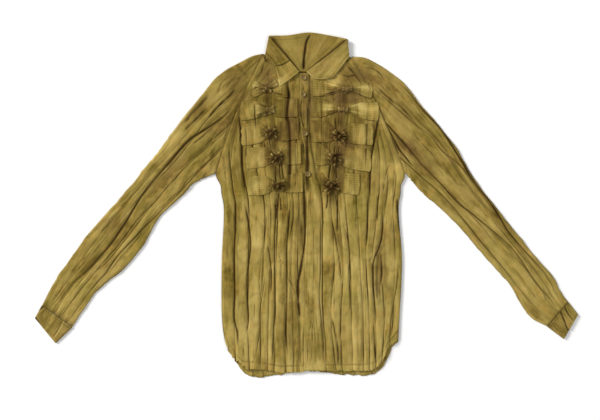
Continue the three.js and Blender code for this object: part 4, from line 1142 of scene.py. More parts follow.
RIGHT_SLEEVE_MARKS = [
    (3.0, 0.95, [(173, 284), (215, 247), (242, 215), (263, 191), (293, 158), (311, 131), (333, 95),
        (352, 62),
                       (399, 0), (433, -56), (474, -104), (515, -150), (556, -219)]),
    (2.2, 0.75, [(152, 255), (173, 233), (200, 212), (215, 197), (248, 161)]),
    (2.6, 0.85, [(147, 221), (161, 197), (173, 167), (187, 143), (200, 119), (212, 104), (233, 77)]),
    (2.0, 0.6, [(128, 298), (150, 290), (168, 268)]),
    (1.6, 0.5, [(132, 262), (146, 276), (166, 282)]),
    (1.6, 0.5, [(150, 236), (176, 250), (196, 244)]),
    (2.0, 0.6, [(111, 282), (154, 243), (220, 185), (266, 150), (293, 116), (328, 88), (373, 32),
                       (416, -37), (465, -101), (508, -163), (539, -204)]),
    (2.4, 0.75, [(126, 226), (169, 178), (203, 140), (259, 77), (293, 41), (330, 2), (354, -17),
                       (440, -92), (488, -159), (521, -200), (545, -234)]),
    (2.0, 0.6, [(169, 150), (188, 127), (201, 103), (300, 13), (334, -28), (371, -73), (420, -131),
                       (463, -185), (521, -252)]),
    (4.5, 0.45, [(208, 214), (258, 165), (298, 120), (338, 58), (382, 2), (424, -40)]),
    (1.6, 0.5, [(176, 268), (222, 214), (262, 172)]),
    (1.4, 0.45, [(216, 168), (262, 118), (300, 78), (330, 40)]),
    (1.4, 0.35, [(150, 280), (200, 225), (240, 185)]),
    (1.5, 0.45, [(300, 40), (340, -5), (380, -50), (415, -95)]),
    (1.4, 0.4, [(398, -30), (440, -80), (480, -130)]),
    (1.5, 0.45, [(440, -130), (476, -176), (505, -214)]),
    (1.3, 0.3, [(240, 120), (290, 70), (330, 30)]),
    (1.4, 0.4, [(208, 92), (240, 58), (276, 22)]),
    (1.3, 0.35, [(330, 70), (380, 0), (420, -60)]),
    (1.4, 0.4, [(470, -130), (510, -180), (540, -222)]),
]
LEFT_SLEEVE_MARKS = [
    (1.8, 0.4, [(-117, 286), (-156, 249), (-214, 183), (-250, 133), (-289, 86), (-336, 39), (-384, -15),
                       (-433, -75), (-487, -135), (-526, -183)]),
    (3.0, 0.85, [(-143, 230), (-182, 187), (-250, 140), (-299, 87), (-345, 33), (-377, -19), (-420, -84),
                       (-472, -142), (-500, -166), (-530, -209)]),
    (1.6, 0.4, [(-158, 183), (-182, 150), (-244, 97), (-289, 49), (-328, 4), (-367, -37), (-403, -86),
                       (-453, -144), (-487, -183), (-530, -243)]),
    (2.2, 0.7, [(-175, 129), (-190, 114), (-242, 62), (-274, 26), (-317, -17), (-349, -49), (-399, -102),
                       (-431, -148), (-455, -172), (-500, -232)]),
    (2.4, 1, [(-212, 186), (-192, 209), (-170, 231), (-150, 251)]),
    (2.6, 0.8, [(-262, 160), (-240, 182), (-216, 206)]),
    (1.8, 0.55, [(-172, 252), (-160, 268), (-140, 274)]),
    (1.8, 0.5, [(-190, 240), (-184, 260), (-166, 276)]),
    (1.6, 0.5, [(-122, 276), (-140, 290), (-150, 304)]),
    (1.6, 0.5, [(-128, 246), (-140, 232), (-136, 214)]),
    (3.4, 0.5, [(-262, 176), (-246, 196), (-228, 214), (-206, 236)]),
    (1.5, 0.5, [(-244, 130), (-218, 152), (-190, 176)]),
    (1.5, 0.5, [(-285, 66), (-255, 92), (-222, 122), (-196, 150)]),
    (1.4, 0.35, [(-130, 262), (-175, 220), (-230, 165)]),
    (1.6, 0.5, [(-352, 44), (-386, 6), (-420, -36), (-446, -66)]),
    (1.4, 0.45, [(-420, -46), (-456, -92), (-490, -132)]),
    (1.5, 0.4, [(-440, -110), (-470, -146), (-500, -182)]),
    (1.4, 0.45, [(-505, -160), (-530, -196), (-555, -226)]),
    (1.3, 0.3, [(-200, 145), (-250, 100), (-280, 70)]),
    (1.4, 0.35, [(-330, 60), (-370, 10), (-400, -35)]),
    (1.4, 0.4, [(-470, -120), (-510, -160), (-552, -215)]),
]

# %% Sleeves
SLEEVE_ROWS = 170
TOP_COLUMNS = 100
UNDER_COLUMNS = 56
SLEEVE_WALL = 1.0
SLEEVE_MIDDLE = 1.75  # height of the folded edges
SLEEVE_TOP = 3.3  # least height of the upper layer
FOLD_ROUND = 2.6
SHOULDER_RISE = {"left": 2.5, "right": 4.0}  # fullness beside the neck
SEWN = 0.5  # how much of a pleat is left where it is sewn down
RING_STEP = 48  # millimetres of sleeve between two rings, about
SEAM_TO_RING = 18  # the same beside the seam and beside the cuff, where the rings are closer
RING_TO_CUFF = 12
EDGE_WANDER = 1.5  # how far the folded edges stray


def round_edge(across, reach):
    """How far cloth has risen out of the folded edge of a flat tube, from 0 on the fold to 1."""
    edge = np.minimum(across, 1 - across) * reach
    return np.sqrt(np.clip(1 - (1 - np.clip(edge / FOLD_ROUND, 0, 1)) ** 2, 0, 1))


def close_tube(sheet):
    """Makes the last column of a tube the same as its first, because they are sewn together."""
    for key in ("z", "fold", "light", "mauve"):
        sheet[key][:, -1] = sheet[key][:, 0]
    return sheet


def sleeve_sheet(side, rings, marks, seed):
    """A sleeve as a sheet that goes once round the flattened tube, its top first."""
    outward = SIDES[side][1]
    neck, under = raglan(side, 0.0), raglan(side, 1.0)
    start = outward * SEAM_GAP / 2
    ups = [(neck[0] + start, neck[1])] + [ring.up for ring in rings]
    lows = [(under[0] + start, under[1])] + [ring.low for ring in rings]
    creases = [SEAM_CREASES] + [ring.creases for ring in rings]
    r = np.linspace(0, len(rings), SLEEVE_ROWS)[:, None]
    up = [along([p[k] for p in ups], r) for k in (0, 1)]
    low = [along([p[k] for p in lows], r) for k in (0, 1)]
    free = soft_step(r - 1) * soft_step((len(rings) - r) / 1.5)
    for edge, wide, draw in ((up, 21, seed + 15), (low, 19, seed + 17)):
        down_arm = r * RING_STEP
        stray = grain(down_arm, 0 * r, wide, 9, draw) + 0.5 * grain(down_arm, 0 * r, 8, 9, draw + 1)
        edge[0] = edge[0] + outward * EDGE_WANDER * free * stray
    stops = np.concatenate([0 * r] + [along([c[k] for c in creases], r) for k in range(4)] + [0 * r + 1], 1)
    number, share = stations(np.diff(stops, axis=1).mean(0), TOP_COLUMNS)
    over = mix(stops[:, number], stops[:, number + 1], share)
    beneath = np.broadcast_to(1 - np.linspace(0, 1, UNDER_COLUMNS + 2)[1:-1], (SLEEVE_ROWS, UNDER_COLUMNS))
    across = np.concatenate([over, beneath, over[:, :1]], 1)
    bow = outward * RAGLAN_BULGE * 4 * across * (1 - across) * np.clip(1 - r, 0, 1)
    x = mix(up[0], low[0], across) + bow
    y = mix(up[1], low[1], across) + SHOULDER_RISE[side] * hump(r - 0.5, 0.45) * (1 - across) ** 3
    sheet = new_sheet(x, y)
    reach = np.hypot(low[0] - up[0], low[1] - up[1])
    full = round_edge(across, reach)
    from_seam, from_cuff = r * SEAM_TO_RING, (len(rings) - r) * RING_TO_CUFF
    strength = mix(SEWN, 1, soft_step(r / 1.2)) * mix(SEWN, 1, soft_step((len(rings) - r) / 1.2))
    width = np.diff(stops, axis=1)[:, number] * reach
    rise = np.minimum(SLEEVE_RISES[number], 0.16 * width)
    crown = ridge(share[None, :], width, 2.2, 3.6) * rise * strength
    columns = crown.shape[1]
    uneven = 0.85 + 0.25 * grain(number * 7.0 + 0 * crown, sheet["length"][:, :columns], 1, 60, seed)
    bend = crinkle(sheet, seed)
    open_cloth = yoke(x, y)[:, :columns]
    crumpled = open_cloth * np.clip(crumple(x, y, 50)[:, :columns], -1, 1.8)
    top = (crown * uneven + 0.75 * bend[:, :columns]) * (1 - 0.6 * open_cloth)
    top = SLEEVE_TOP + 0.4 * open_cloth + top + crumpled
    # painted shade in the creases of the upper layer, patchy along the arm
    patchy = 0.4 + 0.5 * grain(number * 5.0 + 0 * crown, r * 40 + 0 * crown, 1, 40, seed + 3)
    creased = 0.6 * (1 - ridge(share[None, :], width, 1.5, 1.5)) * (1 - open_cloth)
    sheet["fold"][:, :columns] = creased * patchy
    laid = dict(sheet, z=np.zeros(x.shape))
    laid["z"][:, :columns] = mix(SLEEVE_MIDDLE, np.maximum(top, SLEEVE_TOP - 0.25), full[:, :columns])
    press(laid, marks, SLEEVE_TOP - 0.3, 0.85)
    lines = hump((across * 9 + 0.3 * np.sin(r * 2)) % 1 - 0.5, 0.12)
    groove = 0.5 * np.clip(0.5 + bend, 0, 1.6) + 0.4 * lines
    lower = SLEEVE_MIDDLE * (1 - full) + np.clip(groove, 0, 0.9) * full
    is_top = np.arange(x.shape[1]) < columns
    level = mix(laid["z"], SEAM_LEVEL, 0.9 * hump(from_seam, 4) * full)
    sheet["z"] = np.where(is_top, level - 0.15 * hump(from_cuff, 2.0) * full, lower)
    # painted shade in the grooves underneath, and in lines at the raglan seam and at the cuff
    sheet["fold"] = np.where(is_top, laid["fold"], 0.4 * soft_step((groove - 0.5) / 0.4))
    faint = (r < 1) & ((side == "left") | (y < SEAM_SHADE[0]) | (y > SEAM_SHADE[1]))
    darken(sheet, np.where(faint, 0.05, 0.5) * (hump(from_seam, 2.0) + hump(from_cuff, 2.0)))
    sheet["fold"] = np.clip(sheet["fold"], 0, 1)
    dye_and_paint_light(sheet, seed)
    tone = grain(number * 3.0 + 0 * crown, r * 40 + 0 * crown, 1, 80, seed + 12)
    sheet["light"][:, :columns] += 0.2 * tone * hump(share[None, :] - 0.5, 0.5)
    return close_tube(sheet)


SLEEVES = {"left": (LEFT_RINGS, LEFT_SLEEVE_MARKS, 300), "right": (RIGHT_RINGS, RIGHT_SLEEVE_MARKS, 400)}
for side, (rings, marks, seed) in SLEEVES.items():
    name = f"sleeve_{side}"
    sheet = sleeve_sheet(side, rings, marks, seed)
    piece = place_piece(name, lay(name, sheet, closed=True), PLEATED, SLEEVE_WALL)
    declare_sheet(piece, sheet, TAKE_UP)

# %% [markdown]
# ## The cuffs
#
# A cuff is a doubled strip that closes with a button at the back of the wrist, so from above it is a
# short flat tube a little wider than the sleeve's end. Its cloth puckers along the seam where the sleeve
# is gathered in, and the wide end stands open. Its creases are where its two ends lap.

# %% Cuffs
CUFF_ENDS = {"left": ((-583, -243), (-539, -296)), "right": ((583, -235), (553, -287))}
CUFF_WALL = 1.5
CUFF_TOP = 4.1
CUFF_FLARE = 1.02
CUFF_START = 0.02
CUFF_MIDDLE = SLEEVE_MIDDLE + 0.5
CUFF_ROWS, CUFF_TOP_COLUMNS, CUFF_UNDER_COLUMNS = 46, 66, 34
CUFF_STITCH = 4  # from both ends of a cuff to its stitches
LEFT_CUFF_MARKS = [
    (3.4, 1, [(-556, -203), (-564, -216), (-580, -229), (-583, -236), (-579, -246), (-568, -262)]),
    (2.2, 0.22, [(-522, -246), (-534, -268), (-545, -284)]),
]
RIGHT_CUFF_MARKS = [
    (2.6, 0.9, [(532, -209), (546, -232), (553, -247), (561, -266), (566, -272)]),
    (2.2, 0.8, [(535, -168), (552, -207), (560, -231), (577, -252)]),
    (1.5, 0.5, [(512, -236), (530, -256), (541, -268), (556, -276)]),
    (5.0, 0.3, [(534, -196), (542, -206)]),
]


def cuff_sheet(side, rings, marks, seed):
    """A cuff as a sheet that goes once round, from the sleeve's last ring to the wide open end."""
    ring, end = rings[-1], CUFF_ENDS[side]
    f = np.linspace(CUFF_START, 1, CUFF_ROWS)[:, None]
    up = [mix(ring.up[k], end[0][k], f) for k in (0, 1)]
    low = [mix(ring.low[k], end[1][k], f) for k in (0, 1)]
    beneath = 1 - np.linspace(0, 1, CUFF_UNDER_COLUMNS + 2)[1:-1]
    across = np.concatenate([np.linspace(0, 1, CUFF_TOP_COLUMNS), beneath, [0]])[None, :]
    g = mix(0.5, across, CUFF_FLARE)
    x, y = mix(up[0], low[0], g), mix(up[1], low[1], g)
    sheet = new_sheet(x, y)
    full = round_edge(across, np.hypot(low[0] - up[0], low[1] - up[1]))
    length = np.hypot(up[0][-1] - up[0][0], up[1][-1] - up[1][0])[0]
    pucker = hump(f * length, 7) * np.sin(across * 46 + 2 * np.sin(across * 17))
    bend = crinkle(sheet, seed)
    top = CUFF_TOP + 0.3 * pucker + 0.4 * bend + 0.45 * hump(across - 0.5, 0.3)
    stitched = hump((1 - f) * length - CUFF_STITCH, 0.9) + hump(f * length - CUFF_STITCH, 0.9)
    laid = dict(sheet, z=mix(CUFF_MIDDLE, top - 0.25 * stitched, full))
    # painted shade in the hollows of the pucker and in the stitched grooves
    laid["fold"] = 0.35 * np.clip(-pucker, 0, 1) + 0.2 * stitched
    press(laid, marks, CUFF_TOP - 1.3)
    is_top = np.arange(x.shape[1]) < CUFF_TOP_COLUMNS
    sheet["z"] = np.where(is_top, laid["z"], CUFF_MIDDLE * (1 - full))
    sheet["fold"] = np.where(is_top, laid["fold"], 0.1)
    dye_and_paint_light(sheet, seed)
    return close_tube(sheet)


for side, marks, seed in (("left", LEFT_CUFF_MARKS, 500), ("right", RIGHT_CUFF_MARKS, 510)):
    name = f"cuff_{side}"
    sheet = cuff_sheet(side, SLEEVES[side][0], marks, seed)
    piece = place_piece(name, lay(name, sheet, closed=True), CUFF, CUFF_WALL)
    declare_sheet(piece, sheet)

# %% [markdown]
# ## The front strip
#
# The strip (placket) is a band of cloth folded to a width of some 20 mm at the neck and 45 mm at the
# hem, topstitched along both edges. It lies over the edge of the right front. Its two long edges turn
# down, so they catch the light along the left, and a thin shadow is painted along the right.

# %% Front strip
StripRow = namedtuple("StripRow", "y left right")
STRIP = [
    StripRow(284, -15, 5), StripRow(236, -14, 5), StripRow(187, -13, 4), StripRow(150, -10, 6),
    StripRow(118, -5, 10), StripRow(67, -2, 20), StripRow(-2, 1, 33), StripRow(-118, -3, 33),
    StripRow(-234, -4, 34), StripRow(-290, -5, 40), StripRow(-355, -5, 42),
]
STRIP_TOP = 7.15
STRIP_FLOOR = 6.9  # no crease takes the strip's top lower
STRIP_EDGE = 6.6
STRIP_WALL = 1.0
STRIP_ROWS, STRIP_COLUMNS = 260, 30
STITCH_INSET = 3
STRIP_MARKS = [
    (6.5, 0.8, [(0, 152), (1, 120), (2, 84), (1, 50), (0, 22)]),
    (1.2, 0.6, [(15, -40), (15, -120), (14, -232)]),
    (2.2, 0.75, [(29, -9), (30, -115), (28, -200), (35, -271), (37, -340)]),
    (2.6, 0.8, [(3, 222), (1, 155), (2, 120)]),
    (2.0, 0.7, [(-10, 232), (-12, 205), (-10, 180), (-4, 166)]),
    (1.6, 0.5, [(-8, 262), (-6, 250), (-9, 244)]),
    (1.6, 0.5, [(-11, 145), (-6, 128), (-3, 110)]),
    (1.2, 0.4, [(5, 60), (9, 20), (8, -30)]),
    (1.2, 0.35, [(22, -60), (24, -160)]),
    (2.4, 0.75, [(30, -232), (33, -280), (38, -345)]),
    (1.6, 0.6, [(12, -238), (4, -290), (0, -346)]),
    (1.5, 0.55, [(14, -242), (12, -300), (9, -346)]),
    (1.5, 0.55, [(16, -242), (20, -300), (21, -346)]),
    (1.4, 0.5, [(20, -238), (27, -290), (30, -340)]),
    (3.0, 0.3, [(-4, -98), (14, -104), (34, -97)]),
    (2.6, 0.26, [(-4, -178), (16, -171), (34, -180)]),
    (2.6, 0.26, [(-2, -42), (15, -36), (34, -44)]),
    (1.2, 0.5, [(7, -222), (18, -236)]),
    (1.2, 0.5, [(18, -222), (7, -236)]),
]


def strip_sheet():
    """The front strip as a sheet, with its two rows of stitches pressed in."""
    k = np.linspace(0, len(STRIP) - 1, STRIP_ROWS)[:, None]
    y, left, right = [along([getattr(row, key) for row in STRIP], k) for key in ("y", "left", "right")]
    even = np.linspace(0, 1, STRIP_COLUMNS)[None, :]
    across = mix(0.5 - 0.5 * np.cos(np.pi * even), even, 0.5)
    x = mix(left, right, across)
    y = y + 0 * x
    sheet = new_sheet(x[::-1], y[::-1])
    x = sheet["x"]
    edge = np.minimum(x - x[:, :1], x[:, -1:] - x)
    bend = crinkle(sheet, 600)
    crown = 0.35 * np.clip(edge / 4, 0, 1)
    stitched = hump(edge - STITCH_INSET, 0.8)
    rounded = (STRIP_TOP - STRIP_EDGE) * hump(edge, 1.0)
    sheet["z"] = STRIP_TOP + crown + 0.22 * bend - 0.18 * stitched - rounded
    # painted shadow along the right edge, and painted shade in the stitched grooves
    sheet["fold"] = 0.35 * hump(x[:, -1:] - x, 1.6) + 0.22 * stitched
    press(sheet, STRIP_MARKS, STRIP_FLOOR)
    dye_and_paint_light(sheet, 600)
    sheet["light"] += 0.35 * grain(0.3 * x, y, 9, 27, 611)
    sheet["mauve"] = np.clip(sheet["mauve"] + 0.5 * grain(0.3 * x, y, 11, 31, 612), 0, 1)
    return sheet


strip = strip_sheet()
piece = place_piece("placket", lay("placket", strip), STRIP_CLOTH, STRIP_WALL)
declare_sheet(piece, strip)

# %% [markdown]
# ## The collar
#
# The collar folds over along a roll line that runs from the V of the neck up to each corner. What shows
# between the two roll lines is its inner face behind the neck, with a soft fold at the centre back. The
# two falls come forward over the fronts and end in points. Each fall is a patch between four curves: its
# roll line, its outer edge, its front edge and its neck edge. At the roll line the cloth turns over in a
# small round, and a line of topstitching runs inside the free edges.

# %% Collar
ROLL = {
    "left": [(-14, 287), (-48, 325), (-81, 363)],
    "right": [(-2, 287), (46, 322), (88, 356)],
}
LEAD = {
    "left": [(-14, 287), (-34, 271), (-58, 254)],
    "right": [(-2, 287), (21, 270), (57, 274)],
}
OUTER = {
    "left": [(-58, 254), (-68, 296), (-89, 323)],
    "right": [(57, 274), (79, 302), (92, 319)],
}
COLLAR_TOP = [(-81, 364), (-44, 365), (6, 371), (50, 365), (88, 357)]
COLLAR_WALL = 1.2
ROLL_HEIGHT = 10.4  # of the cloth at the roll line
REST_HEIGHT = 7.4  # of a fall's outer edge
FRONT_UNDER = 6.2  # least height of the fronts below a fall
COLLAR_CLEAR = 1.5
COLLAR_STITCH = 5.5  # from the free edges to their stitches
BOWL = (9.4, 4.2)  # heights of the inner face at its sides and at its middle
BOWL_FLOOR = 3.7
FALL_COUNT = 64  # rows and columns of a fall


def ground(x, y, surfaces, least=0.0):
    """Height of the highest of a few surfaces under each point, in millimetres."""
    heights = np.full(x.shape, float(least))
    down = Vector((0, 0, -1))
    for k in np.ndindex(x.shape):
        start = Vector(((x[k] + SHIFT[0]) * MM, (y[k] + SHIFT[1]) * MM, 0.05))
        for surface in surfaces:
            hit = surface.ray_cast(start, down)[0]
            if hit is not None:
                heights[k] = max(heights[k], hit.z / MM)
    return heights


def spread(values, rounds):
    """Smooths a grid of heights as cloth bridges what it lies on."""
    for axis in (0, 0, 1, 1):
        values = np.maximum(values, np.maximum(np.roll(values, 1, axis), np.roll(values, -1, axis)))
    for _ in range(rounds):
        wide = np.pad(values, 1, mode="edge")
        values = (wide[:-2, 1:-1] + wide[2:, 1:-1] + wide[1:-1, :-2] + wide[1:-1, 2:] + 2 * values) / 6
    return values


def patch(roll, outer, lead, neck, u, v):
    """A point between four curves: roll at u = 0, outer at u = 1, lead at v = 0, neck at v = 1."""
    point = []
    for k in (0, 1):
        sides = mix(on_curve(roll, v)[k], on_curve(outer, v)[k], u)
        sides = sides + mix(on_curve(lead, u)[k], on_curve(neck, u)[k], v)
        flat = mix(mix(roll[0][k], outer[0][k], u), mix(roll[-1][k], outer[-1][k], u), v)
        point.append(sides - flat)
    return point


def fall_sheet(side, seed):
    """A turned-down side of the collar as a sheet: it rounds over the roll line and rests on the front."""
    v, u = grid(0, 1, 0, 1, FALL_COUNT, FALL_COUNT)
    u = u**1.3
    neck = [ROLL[side][-1], OUTER[side][-1]]
    x, y = patch(ROLL[side], OUTER[side], LEAD[side], neck, u, v)
    if side == "left":
        x, y, u, v = x[:, ::-1], y[:, ::-1], u[:, ::-1], v[:, ::-1]
    sheet = new_sheet(x, y)
    from_roll, from_outer, from_lead = [
        np.hypot(x - edge[0], y - edge[1])
        for edge in (on_curve(ROLL[side], v), on_curve(OUTER[side], v), on_curve(LEAD[side], u))
    ]
    rest = spread(ground(x, y, [fronts[side]], FRONT_UNDER), 8) + COLLAR_CLEAR
    slope = mix(ROLL_HEIGHT, REST_HEIGHT, np.clip(u, 0, 1) ** 0.6)
    level = np.maximum(slope, np.minimum(rest, ROLL_HEIGHT))
    free = np.minimum(from_outer, from_lead)
    stitched = hump(free - COLLAR_STITCH, 1.0)
    bend = crinkle(sheet, seed)
    turned = np.clip(1 - from_roll / 2.4, 0, 1)
    level = level - 2.2 * (1 - np.sqrt(np.clip(1 - turned ** 2, 0, 1))) * soft_step(v / 0.08)
    sheet["z"] = level + 0.28 * bend - 0.3 * stitched - 0.35 * hump(free, 0.9)
    # painted shade along the roll line and in the stitched grooves
    sheet["fold"] = 0.5 * hump(from_roll, 1.6) + 0.26 * stitched
    if side == "left":
        press(sheet, [(2.0, 0.55, [(-72, 298), (-56, 300), (-44, 305), (-30, 314)])], FRONT_UNDER)
    dye_and_paint_light(sheet, seed)
    # painted light: the left fall darker above its bend, the right fall lighter, and a painted highlight
    # along the free edges
    shaded = soft_step((y - 298 - 0.3 * (x + 68)) / 8) if side == "left" else 0
    lighter = 0.12 if side == "right" else 0
    sheet["light"] = sheet["light"] + 0.3 * hump(free - 2.2, 1.8) + lighter - 0.25 * shaded
    return sheet


def inside_sheet():
    """The collar's inner face as a sheet: a shallow bowl between the roll lines, creased at its middle."""
    v, f = grid(0, 1, 0, 1, 80, 90)
    left, right, top = on_curve(ROLL["left"], v), on_curve(ROLL["right"], v), on_curve(COLLAR_TOP, f)
    g = mix(0.03, 0.97, f)
    straight = mix(ROLL["left"][2][1], ROLL["right"][2][1], f)
    x = mix(mix(left[0], right[0], g), top[0], v ** 4 * 0.5)
    y = mix(left[1], right[1], g) + (top[1] - straight) * v ** 3
    sheet = new_sheet(x, y)
    bowl = np.sqrt(np.clip(4 * f * (1 - f), 0, 1)) * np.minimum(1, 0.35 + v)
    bend = crinkle(sheet, 700)
    sheet["z"] = mix(*BOWL, bowl) + 0.15 * bend + 0.9 * hump(v - 1, 0.06)
    stitched = hump(top[1] - y - 9, 1.1) * (f < 0.5)
    sheet["z"] -= 0.25 * stitched
    # painted shade along both roll lines, and in the stitched groove
    sheet["fold"] = 0.3 * stitched + 0.85 * soft_step((0.08 - np.minimum(f, 1 - f)) / 0.08) * (v < 0.95)
    press(sheet, [(4.0, 1.00, [(9, 370), (0, 352), (-3, 332), (-6, 305), (-6, 289)])], BOWL_FLOOR)
    dye_and_paint_light(sheet, 700, 0.35)
    return sheet


def under_collar_sheet():
    """The back stretch of the collar as a sheet, face down on the table."""
    v, f = grid(0, 1, 0, 1, 20, 60)
    top = on_curve(COLLAR_TOP, f)
    bottom_x = mix(OUTER["left"][2][0], OUTER["right"][2][0], f)
    neck = mix(raglan("left", 0)[1], raglan("right", 0)[1], f)
    bottom_y = neck - BACK_NECK_DROP * np.sin(np.pi * f) + SEAM_GAP + 0.2
    sheet = new_sheet(mix(bottom_x, top[0], v), mix(bottom_y, top[1], v))
    sheet["z"] = 0.25 * np.clip(crinkle(sheet, 710), 0, 1)
    dye_and_paint_light(sheet, 710)
    return sheet


for side, seed in (("left", 720), ("right", 730)):
    name = f"collar_fall_{side}"
    sheet = fall_sheet(side, seed)
    piece = place_piece(name, lay(name, sheet), SMOOTH, COLLAR_WALL)
    declare_sheet(piece, sheet)
for name, sheet, held, below, offset in (
    ("collar_inside", inside_sheet(), "folded", "back", -1),
    ("collar_fall_back", under_collar_sheet(), "laid", "floor", 1),
):
    piece = place_piece(name, lay(name, sheet), SMOOTH, COLLAR_WALL, offset)
    declare_sheet(piece, sheet)

# %% [markdown]
# ## The bands
#
# Five bands of cloth lie across each front. One edge of each is caught under the front strip, the other
# ends on the panel, and a knot near the middle gathers it into a bow. The band lies on the pleats' crowns
# and bridges their creases: its heights are those of the front below it, raised to the highest point
# near by, smoothed, and lifted by the cloth's own thickness. Gathers run out from the knot and die away.
# Painted shade darkens their valleys and the cloth round the knot, and painted highlights lie on their
# crests.

# %% Bands
# shade is how dark the painted shade is in the bow's gathered middle
Band = namedtuple("Band", "inner outer knot top bottom drop pinch reach shade")
BANDS = {
    "left": [
        Band(-40, -117, (-87, 251), 268, 231, 2, 0.60, 18, 0.40),
        Band(-19, -143, (-85, 205), 226, 186, 8, 0.65, 16, 0.48),
        Band(-17, -140, (-77, 153), 181, 134, 14, 0.70, 16, 0.95),
        Band(-12, -131, (-66, 101), 129, 83, 12, 0.70, 16, 0.95),
        Band(-8, -127, (-62, 40), 66, 24, 8, 0.70, 16, 1.00),
    ],
    "right": [
        Band(13, 142, (87, 249), 268, 231, 6, 0.80, 34, 0.35),
        Band(9, 156, (78, 206), 226, 185, 8, 0.80, 32, 0.45),
        Band(10, 143, (70, 147), 178, 132, 8, 0.70, 16, 1.00),
        Band(20, 139, (61, 99), 127, 79, 14, 0.70, 16, 1.00),
        Band(31, 115, (53, 41), 71, 25, 8, 0.70, 16, 1.00),
    ],
}
BAND_WALL = 1.0
BAND_CLEAR = 1.3  # from a front's face to the band's upper face
BAND_PUFF = 1.6
BAND_STITCH = 4.5
BAND_MARKS = {
    "left": [
        UPPER_LEFT_MARKS[0],  # the deep crease beside the strip shows on the bands too
        (2.0, 0.7, [(-112, 222), (-108, 160)]),
        (2.4, 0.55, [(-131, 170), (-128, 100)]),
        (1.4, 0.35, [(-58, 260), (-56, 200), (-52, 120)]),
        (1.4, 0.35, [(-26, 200), (-24, 100), (-22, 30)]),
        (1.8, 0.85, [(-116, 246), (-104, 256), (-88, 252), (-66, 240), (-46, 236)]),
        (2.0, 0.85, [(-111, 214), (-111, 190), (-109, 168)]),
    ],
    "right": [
        (1.6, 0.6, [(32, 270), (32, 189), (31, 129), (28, 66)]),
        (2.6, 0.75, [(131, 190), (128, 140), (127, 80)]),
        (1.4, 0.4, [(108, 262), (110, 200), (104, 130)]),
        (1.4, 0.35, [(48, 250), (46, 180), (44, 110)]),
        (2.2, 0.95, [(86, 247), (115, 236), (147, 219)]),
        (1.8, 0.7, [(16, 229), (50, 241), (80, 249)]),
        (2.2, 0.9, [(80, 200), (98, 185), (128, 177), (149, 181)]),
        (1.8, 0.7, [(16, 182), (46, 190), (70, 203)]),
        (1.6, 0.6, [(90, 256), (112, 266), (138, 262)]),
        (1.6, 0.6, [(84, 212), (104, 222), (140, 220)]),
    ],
}


def band_sheet(side, band, seed):
    """A band as a sheet: pinched at its knot, gathered beside it, and at rest on the front."""
    v, x = grid(-0.5, 0.5, *sorted((band.inner, band.outer)), 30, 84)
    knot_x, knot_y = band.knot
    size = 1 - band.pinch * hump(x - knot_x, band.reach)
    share = (x - band.inner) / (band.outer - band.inner)
    middle = (band.top + band.bottom) / 2 + band.drop * (0.5 - share)
    tall = band.top - band.bottom
    half = 20 * np.sign(v)
    wave = 3.0 * grain(x, half, 17, 9, seed) + 1.6 * grain(x, half, 5, 9, seed + 1)
    y = mix(knot_y, middle, size) + v * size * (tall + wave * np.abs(v))
    inner_edge, outer_edge = sorted((band.inner, band.outer), key=abs)
    rounded = 3.5 * (2 * np.abs(v)) ** 4 + 1.2 * grain(0 * x, 40 * v, 5, 7, seed + 2)
    x = x - np.sign(outer_edge) * rounded * np.clip((x - inner_edge) / (outer_edge - inner_edge), 0, 1) ** 6
    sheet = new_sheet(x, y)
    rest = spread(ground(x, y, [fronts[side]]), 5)
    broad = band.pinch > 0.75  # two bands on the right open out beside the knot
    near, close = hump(x - knot_x, 24 if broad else 15), hump(x - knot_x, 12)
    phase = seed * 1.7 + np.sign(x - knot_x) * 0.8
    folds = (1.7, 3.1) if broad else (4.4, 7.3)
    gather = np.cos(2 * np.pi * folds[0] * v + phase) + 0.5 * np.cos(2 * np.pi * folds[1] * v + 2 * phase)
    bend = crinkle(sheet, seed)
    puff = BAND_PUFF * (1 - size) * (1 - np.abs(v)) + 0.5 * near * (1 - 4 * v * v)
    edge = (0.5 - np.abs(v)) * tall * size
    outer = soft_step(0.5 + (np.abs(x) - np.abs(knot_x)) / 20)
    lift = 0.2 * hump(edge - 2.5, 1.6) * (1 - near) * outer - 0.8 * hump(edge, 1.6)
    stitched = 0.7 * hump(edge - BAND_STITCH, 0.9) * (1 - near) * outer
    sheet["z"] = rest + BAND_CLEAR + puff + 0.9 * gather * near + 0.4 * bend + lift - 0.15 * stitched
    from_knot = np.hypot(x - knot_x, y - knot_y)
    # painted shade in the valleys of the gathers, round the knot, in the stitched grooves and at the cut
    # ends
    lines = np.clip(-gather - 0.15, 0, 1.5) * (0.2 if broad else 0.45) * near
    shadow_round_knot = hump(from_knot, 9 if broad else 18) * np.clip(0.95 + 0.9 * grain(x, y, 6, 6, seed + 3), 0, 1.3)
    sheet["fold"] = lines + 0.08 * stitched + band.shade * shadow_round_knot
    darken(sheet, 0.2 * hump(np.minimum(x - x[:, :1], x[:, -1:] - x), 1.2))
    press(sheet, BAND_MARKS[side], rest + BAND_CLEAR - 0.5, 0.8)
    dye_and_paint_light(sheet, seed)
    # mauve dye near the knot; painted shade close to the knot, painted highlights on the gathers' crests,
    # and the outer part made lighter and the inner darker
    sheet["mauve"] = np.clip(sheet["mauve"] + 0.25 * close, 0, 1.2)
    petal = hump(np.abs(x - knot_x) - 27, 17) if broad else near
    shine = (0.75 if broad else 0.5) * np.clip(gather, 0, 1.2) * petal * (1 - close)
    sheet["light"] = sheet["light"] - 0.2 * close + shine + 0.16 * outer * (1 - near) - 0.1 * (1 - outer)
    return sheet


